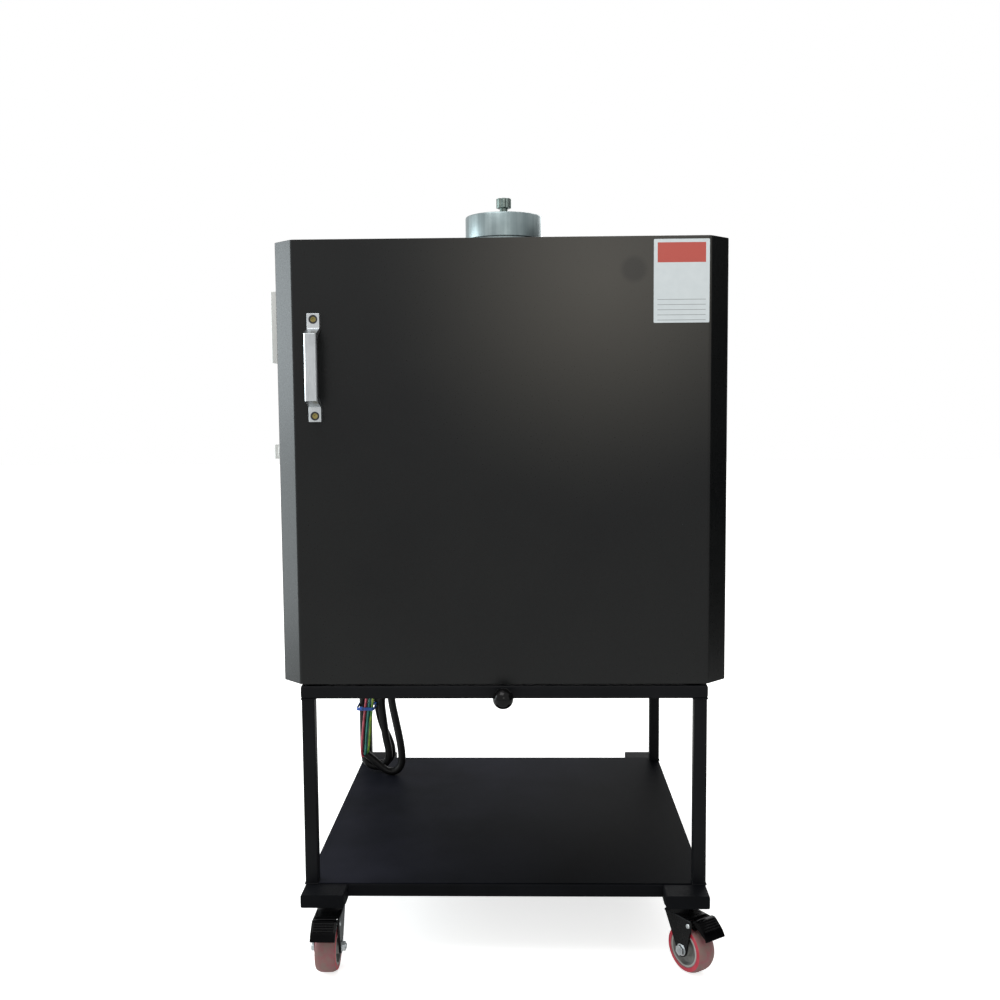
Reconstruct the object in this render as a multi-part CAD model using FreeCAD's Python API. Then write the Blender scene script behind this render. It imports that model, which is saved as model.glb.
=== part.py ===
import FreeCAD, Part
import math
import os

# Front-loading ceramic kiln on a low castored stand.
# Millimetres, +Z up, front towards -Y. The origin is on the floor, under the middle of the
# whole outline; the body's centre plane lies centre_plane_x to the right of it.

Vector = FreeCAD.Vector

# overall
centre_plane_x = 10.0       # half of what the controls stand out further than the hinges
stand_width = 620.0
stand_depth = 620.0
leg_height = 313.0          # from the base beams to the top of the stand
tube = 20.0                 # square tube of the stand
tube_wall = 2.0
tube_corner = 2.5
body_height = 673.0
chamfer = 31.8              # folded edge of the door and of the rear corners
sheet = 1.5
bend_radius = 3.0           # outside of each fold
drill_margin = 1.0          # how far a cut runs past the faces it opens

# base beams and tray
beam_width = 66.0
beam_overhang = 40.0
tray_thickness = 1.5
tray_edge_gap = 2.0
tray_corner_gap = 0.3

# wheels
wheel_diameter = 75.0
wheel_width = 32.0
tread_thickness = 9.5
tread_crown = 3.0
tread_shoulder = 6.0        # rounded part of the tread at each side
tread_corner = 2.0
hub_boss_radius = 11.0
hub_boss_gap = 0.4
hub_recess = 8.0            # how deep the disc lies in the hub
hub_rim_thickness = 4.0
hub_rim_lip = 2.0
hub_side_inset = 1.0        # the hub's rim behind the tread's sides
hub_draft = 2.0
axle_sleeve_radius = 6.0
axle_bolt_radius = 4.0
axle_head_flats = 13.0
axle_head_height = 5.0
axle_thread_end = 2.0       # thread beyond the nut
running_clearance = 0.06

# forks, swivels and top plates
caster_trail = 24.0
kingpin_radius = 5.0
kingpin_head_radius = 8.0
kingpin_head_height = 3.5
kingpin_inset = 38.0        # from the stand's side to the swivel's axis
kingpin_setback = 4.0       # from the stand's front or rear to the swivel's axis
caster_plate = 56.0
caster_plate_thickness = 2.5
caster_plate_corner = 6.0
race_radius = 22.0
race_lip = 1.0              # cup outside the race, and ball ring inside it
race_height = 6.5
race_gap = 0.3
race_stack = 15.5           # from the crown's top to the plate
crown_clearance = 11.0      # from the wheel to the crown
crown_thickness = 3.0
crown_bend = 2.0
leg_gap = 35.2              # clear width between the fork's legs
leg_thickness = 3.0
leg_front = 43.0
leg_back = 14.0
leg_end_radius = 11.0

# brake pedals, measured from the pedal's pin, outwards and upwards
pedal_pivot_reach = 38.0    # from the swivel's axis to the pin
pedal_pivot_drop = 9.0      # from the crown's top to the pin
pedal_crown_gap = 2.0
pedal_pin_radius = 2.5
pedal_boss_radius = 5.0
pedal_thickness = 3.0
pedal_width = 38.0
pedal_side_gap = 0.5
pedal_neck_out = 8.5
pedal_neck_up = 10.0
pedal_crest_out = 16.0
pedal_crest_up = 12.0
pedal_lip_out = 34.0
pedal_lip_down = 3.0
pedal_end_out = 39.0
pedal_end_down = 11.0
pedal_ribs = 4
pedal_rib_radius = 1.0
shoe_drop = 7.2
shoe_top = 5.0
shoe_out = 8.0
shoe_in = 4.0
shoe_side_gap = 3.0
caster_angles = {"front_left": 0.0, "front_right": 35.0, "rear_left": 190.0, "rear_right": 165.0}

# body, door and lining
door_depth = 100.0
seam_gap = 6.0
door_bottom_gap = 3.0
side_brick = 110.0
level_brick = 95.0          # brick of the floor and the roof
back_brick = 90.0
side_board = 40.3           # fibre board between the brick and the sheet
level_board = 40.0
back_board = 41.0
plug_clearance = 8.0
plug_length = 50.5          # how far the door's brick enters the mouth
plug_bevel = 12.0
door_board = 50.0
plug_frame_gap = 1.0
gasket_width = 14.0
gasket_offset = 10.0        # from the mouth's edge to the rope
gasket_rounding = 2.4
seat_gap = 0.3
rear_panel_margin = 10.0

# heating
element_rows = 6
first_row = 50.0            # from the floor and from the roof to the nearest row
groove = 18.0
groove_front_gap = 2.0
coil_radius = 7.0
tail_radius = 3.0
tail_hole_radius = 4.5
element_front = 60.0        # from the mouth to the hairpin's bend
element_rear = 12.0         # from the back wall to the coil's end
tail_end = 26.5             # beyond the rear panel
bush_radius = 10.0
bush_length = 12.0
clamp_size = 14.0
clamp_length = 11.0
coil_seat = 0.2

# terminal cover
cover_side_margin = 36.0    # beyond the elements' tails
cover_end_margin = 45.0
cover_depth = 45.0
cover_sheet = 1.2
cover_flange = 14.0
cover_chamfer = 8.0
slot_count = 9
slot_width = 32.0
slot_height = 5.0
slot_pairs = 2
slot_inset = 26.0           # from the cover's end to the first row of slots
slot_pitch = 16.0

# thermocouple
probe_radius = 4.0
probe_reach = 27.0
probe_drop = 70.0           # below the chamber's roof
probe_head_radius = 14.0
probe_head_length = 20.0

# flue
flue_y = 0.0
flue_bore = 22.0
flue_tube_radius = 30.0
flue_tube_rise = 5.0        # above the top panel
flue_fit = 0.2
flue_hole_gap = 1.0
spigot_radius = 64.5
spigot_flange = 14.0
cap_radius = 67.0
cap_height = 80.0           # above the top panel
cap_skirt = 40.0
cap_sheet = 1.5
cap_rounding = 2.0
knob_radius = 13.0
knob_height = 16.0
knob_neck_radius = 7.0
knob_neck = 16.0
knob_flutes = 8
knob_flute_radius = 3.5
knob_flute_offset = 1.5     # centre of each flute outside the head
stud_radius = 3.0
stud_length = 8.0
stud_nut_flats = 12.0
stud_nut_height = 5.0

# air inlet and its damper
inlet_radius = 25.0
damper_plate_half = 45.0
damper_plate_thickness = 2.0
damper_drop = 4.0           # from the floor panel to the plate's underside
damper_travel = 70.0
damper_rod_radius = 4.0
damper_rod_drop = 13.0      # from the floor panel to the rod's axis
damper_rod_hole = 4.3
damper_knob_radius = 15.6
damper_knob_reach = 26.0    # centre of the ball in front of the front rail
damper_knob_flat = 1.5
lug_width = 16.0
lug_thickness = 5.0
lug_below_rod = 6.0
guide_gap = 1.0
guide_sheet = 1.5
guide_lip = 7.5
guide_flange = 14.0
guide_overrun = 10.0

# controls on the left side
control_setback = 26.0      # behind the seam
control_length = 160.0
control_height = 114.0
control_drop = 62.0         # below the top of the body
control_depth = 33.7
control_wall = 2.5
control_bevel = 4.0
screen_length = 104.0
screen_height = 72.0
screen_depth = 2.0
screen_gap = 0.2
switch_setback = 44.0
switch_drop = 319.4
switch_base_radius = 14.0
switch_base_height = 8.0
switch_knob_radius = 12.5
switch_knob_height = 17.0
switch_grip_height = 8.0
switch_grip_width = 7.0
switch_grip_root = 3.0
switch_grip_inset = 1.0
switch_rounding = 2.0
switch_shaft_radius = 3.0
switch_shaft_reach = 1.5
switch_gap = 0.3

# handle
handle_inset = 32.7         # from the door's fold
handle_drop = 189.4         # below the top of the body
handle_screw_spacing = 142.6
handle_length = 160.1
handle_width = 18.6
handle_reach = 40.0
handle_bar = 10.0
handle_foot = 12.0
handle_foot_length = 22.0
handle_slope = 9.0
handle_inner_slope = 6.0
handle_bevel = 2.0
screw_head_radius = 4.2
screw_head_height = 5.0
screw_head_gap = 0.1
screw_recess = 1.0
screw_radius = 2.5
screw_hole_gap = 0.3
screw_length = 10.0         # behind the door's face
socket_flats = 4.0
socket_depth = 2.5

# hinges and catch
lower_hinge = 90.0          # above the stand
upper_hinge = 147.0         # below the top of the body
knuckle_radius = 6.0
knuckle_length = 30.0
knuckle_gap = 0.3
hinge_side_gap = 0.3
hinge_pin_radius = 4.0
hinge_pin_cover = 3.0       # knuckle beyond the pin's end
hinge_pin_end_gap = 1.0
leaf_thickness = 3.0
leaf_length = 36.0
leaf_gap = 6.0              # from the pin's axis to the edge of the flat leaf
leaf_lap = 1.0              # shared by the bridge and the flat leaf
magnet_radius = 9.0
magnet_spacing = 170.0
magnet_inset = 41.8         # from the body's side

# supply cable
cable_radius = 7.5
gland_inset = 78.0          # from the stand's side
gland_setback = 77.0        # from the stand's rear
gland_flats = 26.0
gland_height = 22.0
gland_neck_height = 8.0
gland_neck_radius = 10.5
gland_neck_taper = 2.0
hank_side_gap = 8.0
hank_width = 88.0
hank_setback = 121.0
hank_thickness = 54.0
hank_rest_gap = 2.2         # above the tray
hank_drop = 56.0            # below the stand's top
cable_end_drop = 12.0       # how far the cable runs into the hank's round top
tie_height = 137.5          # above the tray
tie_reach = 34.0
tie_gap = 1.5               # from the cores to the strap
tie_width = 5.0
tie_thickness = 1.5
core_radius = 2.4

# worked out from the sizes above
half_width = stand_width / 2
half_depth = stand_depth / 2
wheel_radius = wheel_diameter / 2
crown_level = wheel_diameter + crown_clearance + crown_thickness
plate_under = crown_level + race_stack
plate_top = plate_under + caster_plate_thickness
shelf_level = plate_top + tube
frame_top = shelf_level + leg_height
kingpin_x = half_width - kingpin_inset
kingpin_y = half_depth - kingpin_setback
pedal_pivot_z = crown_level - pedal_pivot_drop
body_half = half_width + chamfer
body_top = frame_top + body_height
front = -half_depth
rear = half_depth
door_rear = front + door_depth
door_bottom = frame_top + door_bottom_gap
case_front = door_rear + seam_gap
mouth = case_front + sheet
rear_face = rear + sheet
inner_half = body_half - sheet
inner_bottom = frame_top + sheet
inner_top = body_top - sheet
brick_half = inner_half - side_board
brick_floor = inner_bottom + level_board
brick_roof = inner_top - level_board
brick_back = rear - sheet - back_board
chamber_half = brick_half - side_brick
chamber_floor = brick_floor + level_brick
chamber_roof = brick_roof - level_brick
back_wall = brick_back - back_brick
row_pitch = (chamber_roof - chamber_floor - 2 * first_row) / (element_rows - 1)
row_levels = [chamber_floor + first_row + i * row_pitch for i in range(element_rows)]
coil_x = chamber_half + groove / 2
coil_drop = groove / 2 - coil_radius - coil_seat
probe_level = chamber_roof - probe_drop
cap_top = body_top + cap_height
damper_level = frame_top - damper_drop
damper_rod_level = frame_top - damper_rod_drop
switch_y = case_front + switch_setback
switch_level = body_top - switch_drop
handle_x = half_width - handle_inset
handle_level = body_top - handle_drop
hinge_x = body_half + hinge_side_gap + knuckle_radius
hinge_y = (door_rear + case_front) / 2
gland_x = gland_inset - half_width
gland_y = half_depth - gland_setback
tray_top = shelf_level + tray_thickness
hank_left = hank_side_gap - half_width
hank_right = hank_left + hank_width
hank_front = half_depth - hank_setback
hank_rear = hank_front + hank_thickness
hank_bottom = tray_top + hank_rest_gap
hank_top = frame_top - hank_drop


def box(x0, x1, y0, y1, z0, z1):
    low = Vector(min(x0, x1), min(y0, y1), min(z0, z1))
    return Part.makeBox(abs(x1 - x0), abs(y1 - y0), abs(z1 - z0), low)


def rod(radius, start, end):
    a = Vector(*start)
    b = Vector(*end)
    return Part.makeCylinder(radius, (b - a).Length, a, b - a)


def prism(points, direction):
    vectors = [Vector(*p) for p in points]
    face = Part.Face(Part.makePolygon(vectors + [vectors[0]]))
    return face.extrude(Vector(*direction))


def prism_x(profile, x0, x1):
    return prism([(x0, y, z) for y, z in profile], (x1 - x0, 0, 0))


def prism_z(outline, z0, z1):
    return prism([(x, y, z0) for x, y in outline], (0, 0, z1 - z0))


def revolve(profile, centre, axis, across):
    """Profile points are (distance along the axis, radius)."""
    a = Vector(*axis)
    r = Vector(*across)
    c = Vector(*centre)
    points = [c + a * along + r * radius for along, radius in profile]
    face = Part.Face(Part.makePolygon(points + [points[0]]))
    return face.revolve(c, a, 360)


def hex_prism(flats, start, direction, height):
    radius = flats / math.sqrt(3)
    a = Vector(*direction)
    side = Vector(0, 0, 1) if abs(a.z) < 0.5 else Vector(1, 0, 0)
    up = a.cross(side)
    points = []
    for i in range(6):
        turn = math.radians(60 * i)
        points.append(Vector(*start) + (side * math.cos(turn) + up * math.sin(turn)) * radius)
    return Part.Face(Part.makePolygon(points + [points[0]])).extrude(a * height)


def fuse(shapes):
    return shapes[0].multiFuse(shapes[1:]).removeSplitter()


def near(a, b):
    return abs(a - b) < 0.01


def edges_where(shape, test):
    return [edge for edge in shape.Edges if test(edge)]


def runs_along(edge, axis):
    direction = edge.tangentAt(edge.FirstParameter)
    return abs(getattr(direction, axis)) > 0.99


def save(name, *solids):
    """Write one piece, or a group of like pieces, in the part's own frame."""
    shape = solids[0] if len(solids) == 1 else Part.makeCompound(list(solids))
    shape = shape.copy()
    shape.translate(Vector(centre_plane_x, 0, 0))
    shape.exportStep("parts/" + name + ".step")
    count = len(shape.Solids)
    print(name, count, "solid" if count == 1 else "solids", round(shape.Volume / 1000, 1), "cm3")


def square_tube(start, end):
    """A square tube along X, Y or Z between the centres of its two ends."""
    a = Vector(*start)
    b = Vector(*end)
    axis = max("xyz", key=lambda name: abs(getattr(b - a, name)))
    across = Vector(*[0 if name == axis else 1 for name in "xyz"])
    low = a - across * (tube / 2)
    high = b + across * (tube / 2)
    outer = box(low.x, high.x, low.y, high.y, low.z, high.z)
    outer = outer.makeFillet(tube_corner, edges_where(outer, lambda edge: runs_along(edge, axis)))
    low = low + across * tube_wall
    high = high - across * tube_wall
    return outer.cut(box(low.x, high.x, low.y, high.y, low.z, high.z))


# stand
def make_stand():
    half = tube / 2
    rail_level = frame_top - half
    edge = half_width - half
    end = half_depth - half
    rails = []
    for y in (-end, end):
        rails.append(square_tube((-half_width, y, rail_level), (half_width, y, rail_level)))
    rod_start = (0, front - drill_margin, damper_rod_level)
    rod_end = (0, front + tube + drill_margin, damper_rod_level)
    rails[0] = rails[0].cut(rod(damper_rod_hole, rod_start, rod_end))
    for x in (-edge, edge):
        rails.append(square_tube((x, -half_depth + tube, rail_level), (x, half_depth - tube, rail_level)))
    save("stand_top_frame", *rails)

    posts = []
    for x in (-edge, edge):
        for y in (-end, end):
            posts.append(square_tube((x, y, shelf_level), (x, y, frame_top - tube)))
    save("stand_posts", *posts)

    base = []
    low = shelf_level - tube
    reach = half_depth + beam_overhang
    inner_x = half_width - beam_width
    for side in (-1, 1):
        outer = box(side * inner_x, side * half_width, -reach, reach, low, shelf_level)
        outer = outer.makeFillet(tube_corner, edges_where(outer, lambda edge: runs_along(edge, "y")))
        hollow = box(side * (inner_x + tube_wall), side * (half_width - tube_wall),
                     -reach + tube_wall, reach - tube_wall, low + tube_wall, shelf_level - tube_wall)
        base.append(outer.cut(hollow))
    for y in (-end, end):
        base.append(square_tube((-inner_x, y, low + half), (inner_x, y, low + half)))
    save("stand_base", *base)

    x = half_width - tray_edge_gap
    y = half_depth - tray_edge_gap
    tray = box(-x, x, -y, y, shelf_level, tray_top)
    notch = tube + tray_corner_gap
    for sx in (-1, 1):
        for sy in (-1, 1):
            tray = tray.cut(box(sx * (half_width - notch), sx * half_width, sy * (half_depth - notch),
                                sy * half_depth, shelf_level - drill_margin, tray_top + drill_margin))
    save("shelf_tray", tray)


# casters, each in its own frame: the swivel's axis is Z and the wheel trails towards -Y
def caster_plate_solid():
    half = caster_plate / 2
    plate = box(-half, half, -half, half, plate_under, plate_top)
    plate = plate.makeFillet(caster_plate_corner, edges_where(plate, lambda edge: runs_along(edge, "z")))
    cup = rod(race_radius + race_lip, (0, 0, plate_under - race_height), (0, 0, plate_under))
    head_top = crown_level - crown_thickness - race_gap
    pin = rod(kingpin_radius, (0, 0, head_top), (0, 0, plate_under))
    head = rod(kingpin_head_radius, (0, 0, head_top - kingpin_head_height), (0, 0, head_top))
    return fuse([plate, cup, pin, head])


def fork_shell():
    """Crown, ball race and both legs, bent from one plate."""
    inner = leg_gap / 2
    outer = inner + leg_thickness
    crown_front = pedal_pivot_reach - pedal_crown_gap
    crown_low = crown_level - crown_thickness
    crown = box(-outer, outer, -crown_front, leg_back, crown_low, crown_level)
    race_top = plate_under - race_height - race_gap
    race = rod(race_radius - race_lip, (0, 0, crown_level), (0, 0, race_top))
    leg_corner = pedal_pivot_z - pedal_boss_radius
    side_view = [(leg_back, crown_level), (-leg_front, crown_level), (-leg_front, leg_corner),
                 (-caster_trail - leg_end_radius, wheel_radius), (-caster_trail + leg_end_radius, wheel_radius)]
    legs = []
    for x0, x1 in ((-outer, -inner), (inner, outer)):
        leg = prism_x(side_view, x0, x1)
        end = rod(leg_end_radius, (x0, -caster_trail, wheel_radius), (x1, -caster_trail, wheel_radius))
        legs.append(fuse([leg, end]))
    plate = fuse([crown] + legs)
    bends = edges_where(plate, lambda edge: runs_along(edge, "y") and near(abs(edge.CenterOfMass.x), outer)
                        and near(edge.CenterOfMass.z, crown_level))
    shell = fuse([plate.makeFillet(crown_bend, bends), race])
    bore = kingpin_radius + running_clearance
    return shell.cut(rod(bore, (0, 0, crown_low - drill_margin), (0, 0, race_top + drill_margin)))


def fork_solids():
    inner = leg_gap / 2
    outer = inner + leg_thickness
    pivot_a = (-outer - drill_margin, -pedal_pivot_reach, pedal_pivot_z)
    pivot_b = (outer + drill_margin, -pedal_pivot_reach, pedal_pivot_z)
    pin = rod(pedal_pin_radius, pivot_a, pivot_b)
    head_start = (-outer - axle_head_height, -caster_trail, wheel_radius)
    thread_end = (outer + axle_head_height + axle_thread_end, -caster_trail, wheel_radius)
    shank = rod(axle_bolt_radius, head_start, thread_end)
    sleeve = rod(axle_sleeve_radius, (-inner, -caster_trail, wheel_radius),
                 (inner, -caster_trail, wheel_radius))
    head = hex_prism(axle_head_flats, head_start, (1, 0, 0), axle_head_height)
    nut = hex_prism(axle_head_flats, (outer, -caster_trail, wheel_radius), (1, 0, 0), axle_head_height)
    fork = fork_shell().cut(shank).cut(pin)
    return [fork, fuse([shank, sleeve, head, nut]), pin]


def wheel_solids():
    rim = wheel_radius - tread_thickness
    half = wheel_width / 2
    boss = leg_gap / 2 - hub_boss_gap
    bore = axle_sleeve_radius + running_clearance
    disc = half - hub_recess
    lip = half - hub_side_inset
    side = [(boss, bore), (boss, hub_boss_radius), (disc, hub_boss_radius + hub_draft),
            (disc, rim - hub_rim_thickness), (lip, rim - hub_rim_lip), (lip, rim)]
    profile = side + [(-along, radius) for along, radius in reversed(side)]
    centre = (0, -caster_trail, wheel_radius)
    hub = revolve(profile, centre, (1, 0, 0), (0, 0, 1))
    crown = [(half, rim), (half, wheel_radius - tread_crown),
             (half - tread_corner, wheel_radius - tread_crown / 3), (half - tread_shoulder, wheel_radius)]
    profile = crown + [(-along, radius) for along, radius in reversed(crown)]
    tread = revolve(profile, centre, (1, 0, 0), (0, 0, 1))
    return [hub, tread]


def pedal_path():
    """Middle of the bent pedal plate from its pin to its toe, as (y, z)."""
    steps = [(0, 0), (pedal_neck_out, pedal_neck_up), (pedal_crest_out, pedal_crest_up),
             (pedal_lip_out, -pedal_lip_down), (pedal_end_out, -pedal_end_down)]
    return [(-pedal_pivot_reach - out, pedal_pivot_z + up) for out, up in steps]


def pedal_solid():
    narrow = leg_gap / 2 - pedal_side_gap
    wide = pedal_width / 2
    half_plate = pedal_thickness / 2
    path = pedal_path()
    pieces = []
    for i in range(len(path) - 1):
        half = narrow if i == 0 else wide
        (y0, z0), (y1, z1) = path[i], path[i + 1]
        length = math.hypot(y1 - y0, z1 - z0)
        ny = -(z1 - z0) / length * half_plate
        nz = (y1 - y0) / length * half_plate
        strip = [(y0 + ny, z0 + nz), (y1 + ny, z1 + nz), (y1 - ny, z1 - nz), (y0 - ny, z0 - nz)]
        pieces.append(prism_x(strip, -half, half))
        pieces.append(rod(half_plate, (-half, y1, z1), (half, y1, z1)))
    crest, lip = path[2], path[3]
    slope = math.hypot(lip[0] - crest[0], lip[1] - crest[1])
    out_y = (lip[1] - crest[1]) / slope * half_plate
    out_z = -(lip[0] - crest[0]) / slope * half_plate
    for i in range(pedal_ribs):
        share = (i + 1) / (pedal_ribs + 1)
        y = crest[0] + (lip[0] - crest[0]) * share + out_y
        z = crest[1] + (lip[1] - crest[1]) * share + out_z
        pieces.append(rod(pedal_rib_radius, (-narrow, y, z), (narrow, y, z)))
    y = -pedal_pivot_reach
    z = pedal_pivot_z
    boss = rod(pedal_boss_radius, (-narrow, y, z), (narrow, y, z))
    shoe_profile = [(y, z), (y - shoe_top, z), (y - shoe_out, z - shoe_drop), (y - shoe_in, z - shoe_drop)]
    shoe = prism_x(shoe_profile, -narrow + shoe_side_gap, narrow - shoe_side_gap)
    bore = pedal_pin_radius + running_clearance
    return fuse(pieces + [boss, shoe]).cut(rod(bore, (-wide, y, z), (wide, y, z)))


def make_casters():
    plates = []
    for place, angle in caster_angles.items():
        x = -kingpin_x if "left" in place else kingpin_x
        y = -kingpin_y if "front" in place else kingpin_y

        def put(solid):
            moved = solid.copy()
            moved.rotate(Vector(0, 0, 0), Vector(0, 0, 1), angle)
            moved.translate(Vector(x, y, 0))
            return moved

        plate = caster_plate_solid()
        plate.translate(Vector(x, y, 0))
        plates.append(plate)
        save("caster_fork_" + place, *[put(s) for s in fork_solids()])
        save("caster_wheel_" + place, *[put(s) for s in wheel_solids()])
        save("brake_pedal_" + place, put(pedal_solid()))
    save("caster_plates", *plates)


# casing
def folded_block(outline, open_y, inset, z0, z1):
    """An upright block with rounded folds, except at its open end."""
    block = prism_z(outline, z0, z1)
    folds = edges_where(block, lambda edge: runs_along(edge, "z") and not near(edge.CenterOfMass.y, open_y))
    return block.makeFillet(bend_radius - inset, folds)


def body_block(inset, y_front, z0, z1):
    """The casing behind the seam, with its two chamfered rear corners."""
    cut = chamfer - inset * (2 - math.sqrt(2))
    half = body_half - inset
    back = rear - inset
    outline = [(-half, y_front), (half, y_front), (half, back - cut), (half - cut, back),
               (-half + cut, back), (-half, back - cut)]
    return folded_block(outline, y_front, inset, z0, z1)


def door_block(inset, y_rear, z0, z1):
    """The door pan, with its two chamfered front edges."""
    cut = chamfer - inset * (2 - math.sqrt(2))
    half = body_half - inset
    face = front + inset
    outline = [(-half, y_rear), (-half, face + cut), (-half + cut, face), (half - cut, face),
               (half, face + cut), (half, y_rear)]
    return folded_block(outline, y_rear, inset, z0, z1)


def element_tails():
    """Centres (x, z) of the heating elements' tails."""
    return [(side * coil_x, level - coil_drop) for side in (-1, 1) for level in row_levels]


def make_casing():
    shell = body_block(0, case_front, inner_bottom, inner_top)
    shell = shell.cut(body_block(sheet, case_front - drill_margin, inner_bottom, inner_top))
    opening = half_width - 2 * rear_panel_margin
    shell = shell.cut(box(-opening, opening, rear - sheet - drill_margin, rear_face, inner_bottom, inner_top))
    save("casing_side_panels", *shell.Solids)

    top = body_block(0, case_front, inner_top, body_top)
    hole = flue_tube_radius + flue_hole_gap
    flue_cut = rod(hole, (0, flue_y, inner_top - drill_margin), (0, flue_y, body_top + drill_margin))
    save("casing_top_panel", top.cut(flue_cut))

    floor = body_block(0, case_front, frame_top, inner_bottom)
    inlet = rod(inlet_radius, (0, 0, frame_top - drill_margin), (0, 0, inner_bottom + drill_margin))
    save("casing_floor_panel", floor.cut(inlet))

    edge = half_width - rear_panel_margin
    panel = box(-edge, edge, rear, rear_face, frame_top + rear_panel_margin, body_top - rear_panel_margin)
    for x, z in element_tails():
        panel = panel.cut(rod(tail_hole_radius, (x, rear - drill_margin, z), (x, rear_face + drill_margin, z)))
    probe_start = (0, rear - drill_margin, probe_level)
    probe_end = (0, rear_face + drill_margin, probe_level)
    save("casing_rear_panel", panel.cut(rod(probe_radius + flue_fit, probe_start, probe_end)))

    frame = box(-inner_half, inner_half, case_front, mouth, inner_bottom, inner_top)
    opening = box(-chamber_half, chamber_half, case_front - drill_margin, mouth + drill_margin,
                  chamber_floor, chamber_roof)
    save("mouth_frame", frame.cut(opening))


def make_terminal_cover():
    x = coil_x + cover_side_margin
    low = row_levels[0] - cover_end_margin
    high = row_levels[-1] + cover_end_margin
    back = rear_face + cover_depth
    wall = cover_sheet
    lip = cover_flange
    shell = box(-x, x, rear_face, back, low, high)
    shell = shell.makeChamfer(cover_chamfer, edges_where(shell, lambda edge: near(edge.CenterOfMass.y, back)))
    inner = box(-x + wall, x - wall, rear_face - drill_margin, back - wall, low + wall, high - wall)
    inner = inner.makeChamfer(cover_chamfer,
                              edges_where(inner, lambda edge: near(edge.CenterOfMass.y, back - wall)))
    flange = box(-x - lip, x + lip, rear_face, rear_face + wall, low - lip, high + lip)
    cover = fuse([shell, flange]).cut(inner)
    pitch = (2 * x - 2 * slot_width) / (slot_count - 1)
    rows = [slot_inset + row * slot_pitch for row in range(slot_pairs)]
    for z in [low + row for row in rows] + [high - row for row in rows]:
        for i in range(slot_count):
            left = -x + slot_width / 2 + i * pitch
            cover = cover.cut(box(left, left + slot_width, back - wall - drill_margin, back + drill_margin,
                                  z - slot_height / 2, z + slot_height / 2))
    save("terminal_cover", cover)


# brick and fibre lining
def groove_cuts(side):
    """Grooves for the coils of one wall, open to the chamber, and the holes for their tails."""
    cuts = []
    mouth_side = mouth + element_front - coil_radius - groove_front_gap
    x0 = side * (chamber_half - drill_margin)
    x1 = side * (chamber_half + groove)
    for level in row_levels:
        cuts.append(box(x0, x1, mouth_side, back_wall, level - groove / 2, level + groove / 2))
        tail = (side * coil_x, back_wall - drill_margin, level - coil_drop)
        cuts.append(rod(tail_hole_radius, tail, (tail[0], brick_back + drill_margin, tail[2])))
    for low, high in zip(row_levels[::2], row_levels[1::2]):
        cuts.append(box(x0, x1, mouth_side, mouth_side + groove, low, high))
    return cuts


def make_lining():
    for name, side in (("left_wall_lining", -1), ("right_wall_lining", 1)):
        brick = box(side * chamber_half, side * brick_half, mouth, brick_back, brick_floor, brick_roof)
        for cut in groove_cuts(side):
            brick = brick.cut(cut)
        save(name, brick, box(side * brick_half, side * inner_half, mouth, brick_back, brick_floor, brick_roof))

    brick = box(-chamber_half, chamber_half, back_wall, brick_back, brick_floor, chamber_roof)
    board = box(-brick_half, brick_half, brick_back, rear - sheet, brick_floor, brick_roof)
    probe = rod(probe_radius + flue_fit, (0, back_wall - drill_margin, probe_level), (0, rear, probe_level))
    for x, z in element_tails():
        board = board.cut(rod(tail_hole_radius, (x, brick_back - drill_margin, z), (x, rear, z)))
    save("back_wall_lining", brick.cut(probe), board.cut(probe))

    flue = rod(flue_tube_radius + flue_fit, (0, flue_y, chamber_roof - drill_margin), (0, flue_y, body_top))
    brick = box(-chamber_half, chamber_half, mouth, brick_back, chamber_roof, brick_roof)
    board = box(-inner_half, inner_half, mouth, brick_back, brick_roof, inner_top)
    save("roof_lining", brick.cut(flue), board.cut(flue))

    inlet = rod(inlet_radius, (0, 0, frame_top), (0, 0, chamber_floor + drill_margin))
    brick = box(-chamber_half, chamber_half, mouth, back_wall, brick_floor, chamber_floor)
    board = box(-inner_half, inner_half, mouth, brick_back, inner_bottom, brick_floor)
    save("floor_lining", brick.cut(inlet), board.cut(inlet))


# heating elements, their terminals and the thermocouple
def make_elements():
    y_front = mouth + element_front
    y_rear = back_wall - element_rear
    y_end = rear_face + tail_end
    for name, side in (("elements_left", -1), ("elements_right", 1)):
        x = side * coil_x
        hairpins = []
        for pair in zip(row_levels[::2], row_levels[1::2]):
            levels = [level - coil_drop for level in pair]
            pieces = [rod(coil_radius, (x, y_front, levels[0]), (x, y_front, levels[1]))]
            for z in levels:
                pieces.append(rod(coil_radius, (x, y_front, z), (x, y_rear, z)))
                pieces.append(Part.makeSphere(coil_radius, Vector(x, y_front, z)))
                pieces.append(rod(tail_radius, (x, y_rear - tail_radius, z), (x, y_end, z)))
            hairpins.append(fuse(pieces))
        save(name, *hairpins)

    terminals = []
    half = clamp_size / 2
    clamp_start = rear_face + bush_length
    clamp_end = clamp_start + clamp_length
    for x, z in element_tails():
        bush = rod(bush_radius, (x, rear_face, z), (x, clamp_start, z))
        clamp = box(x - half, x + half, clamp_start, clamp_end, z - half, z + half)
        tail = rod(tail_radius, (x, rear_face - drill_margin, z), (x, clamp_end + drill_margin, z))
        terminals += [bush.cut(tail), clamp.cut(tail)]
    save("element_terminals", *terminals)

    tip_y = back_wall - probe_reach
    sheath = rod(probe_radius, (0, tip_y, probe_level), (0, rear_face, probe_level))
    tip = Part.makeSphere(probe_radius, Vector(0, tip_y, probe_level))
    head = rod(probe_head_radius, (0, rear_face, probe_level), (0, rear_face + probe_head_length, probe_level))
    save("thermocouple", fuse([sheath, tip, head]))


# flue
def ring(outer, inner, z0, z1):
    """A round ring about the flue's axis."""
    hole = rod(inner, (0, flue_y, z0 - drill_margin), (0, flue_y, z1 + drill_margin))
    return rod(outer, (0, flue_y, z0), (0, flue_y, z1)).cut(hole)


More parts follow.
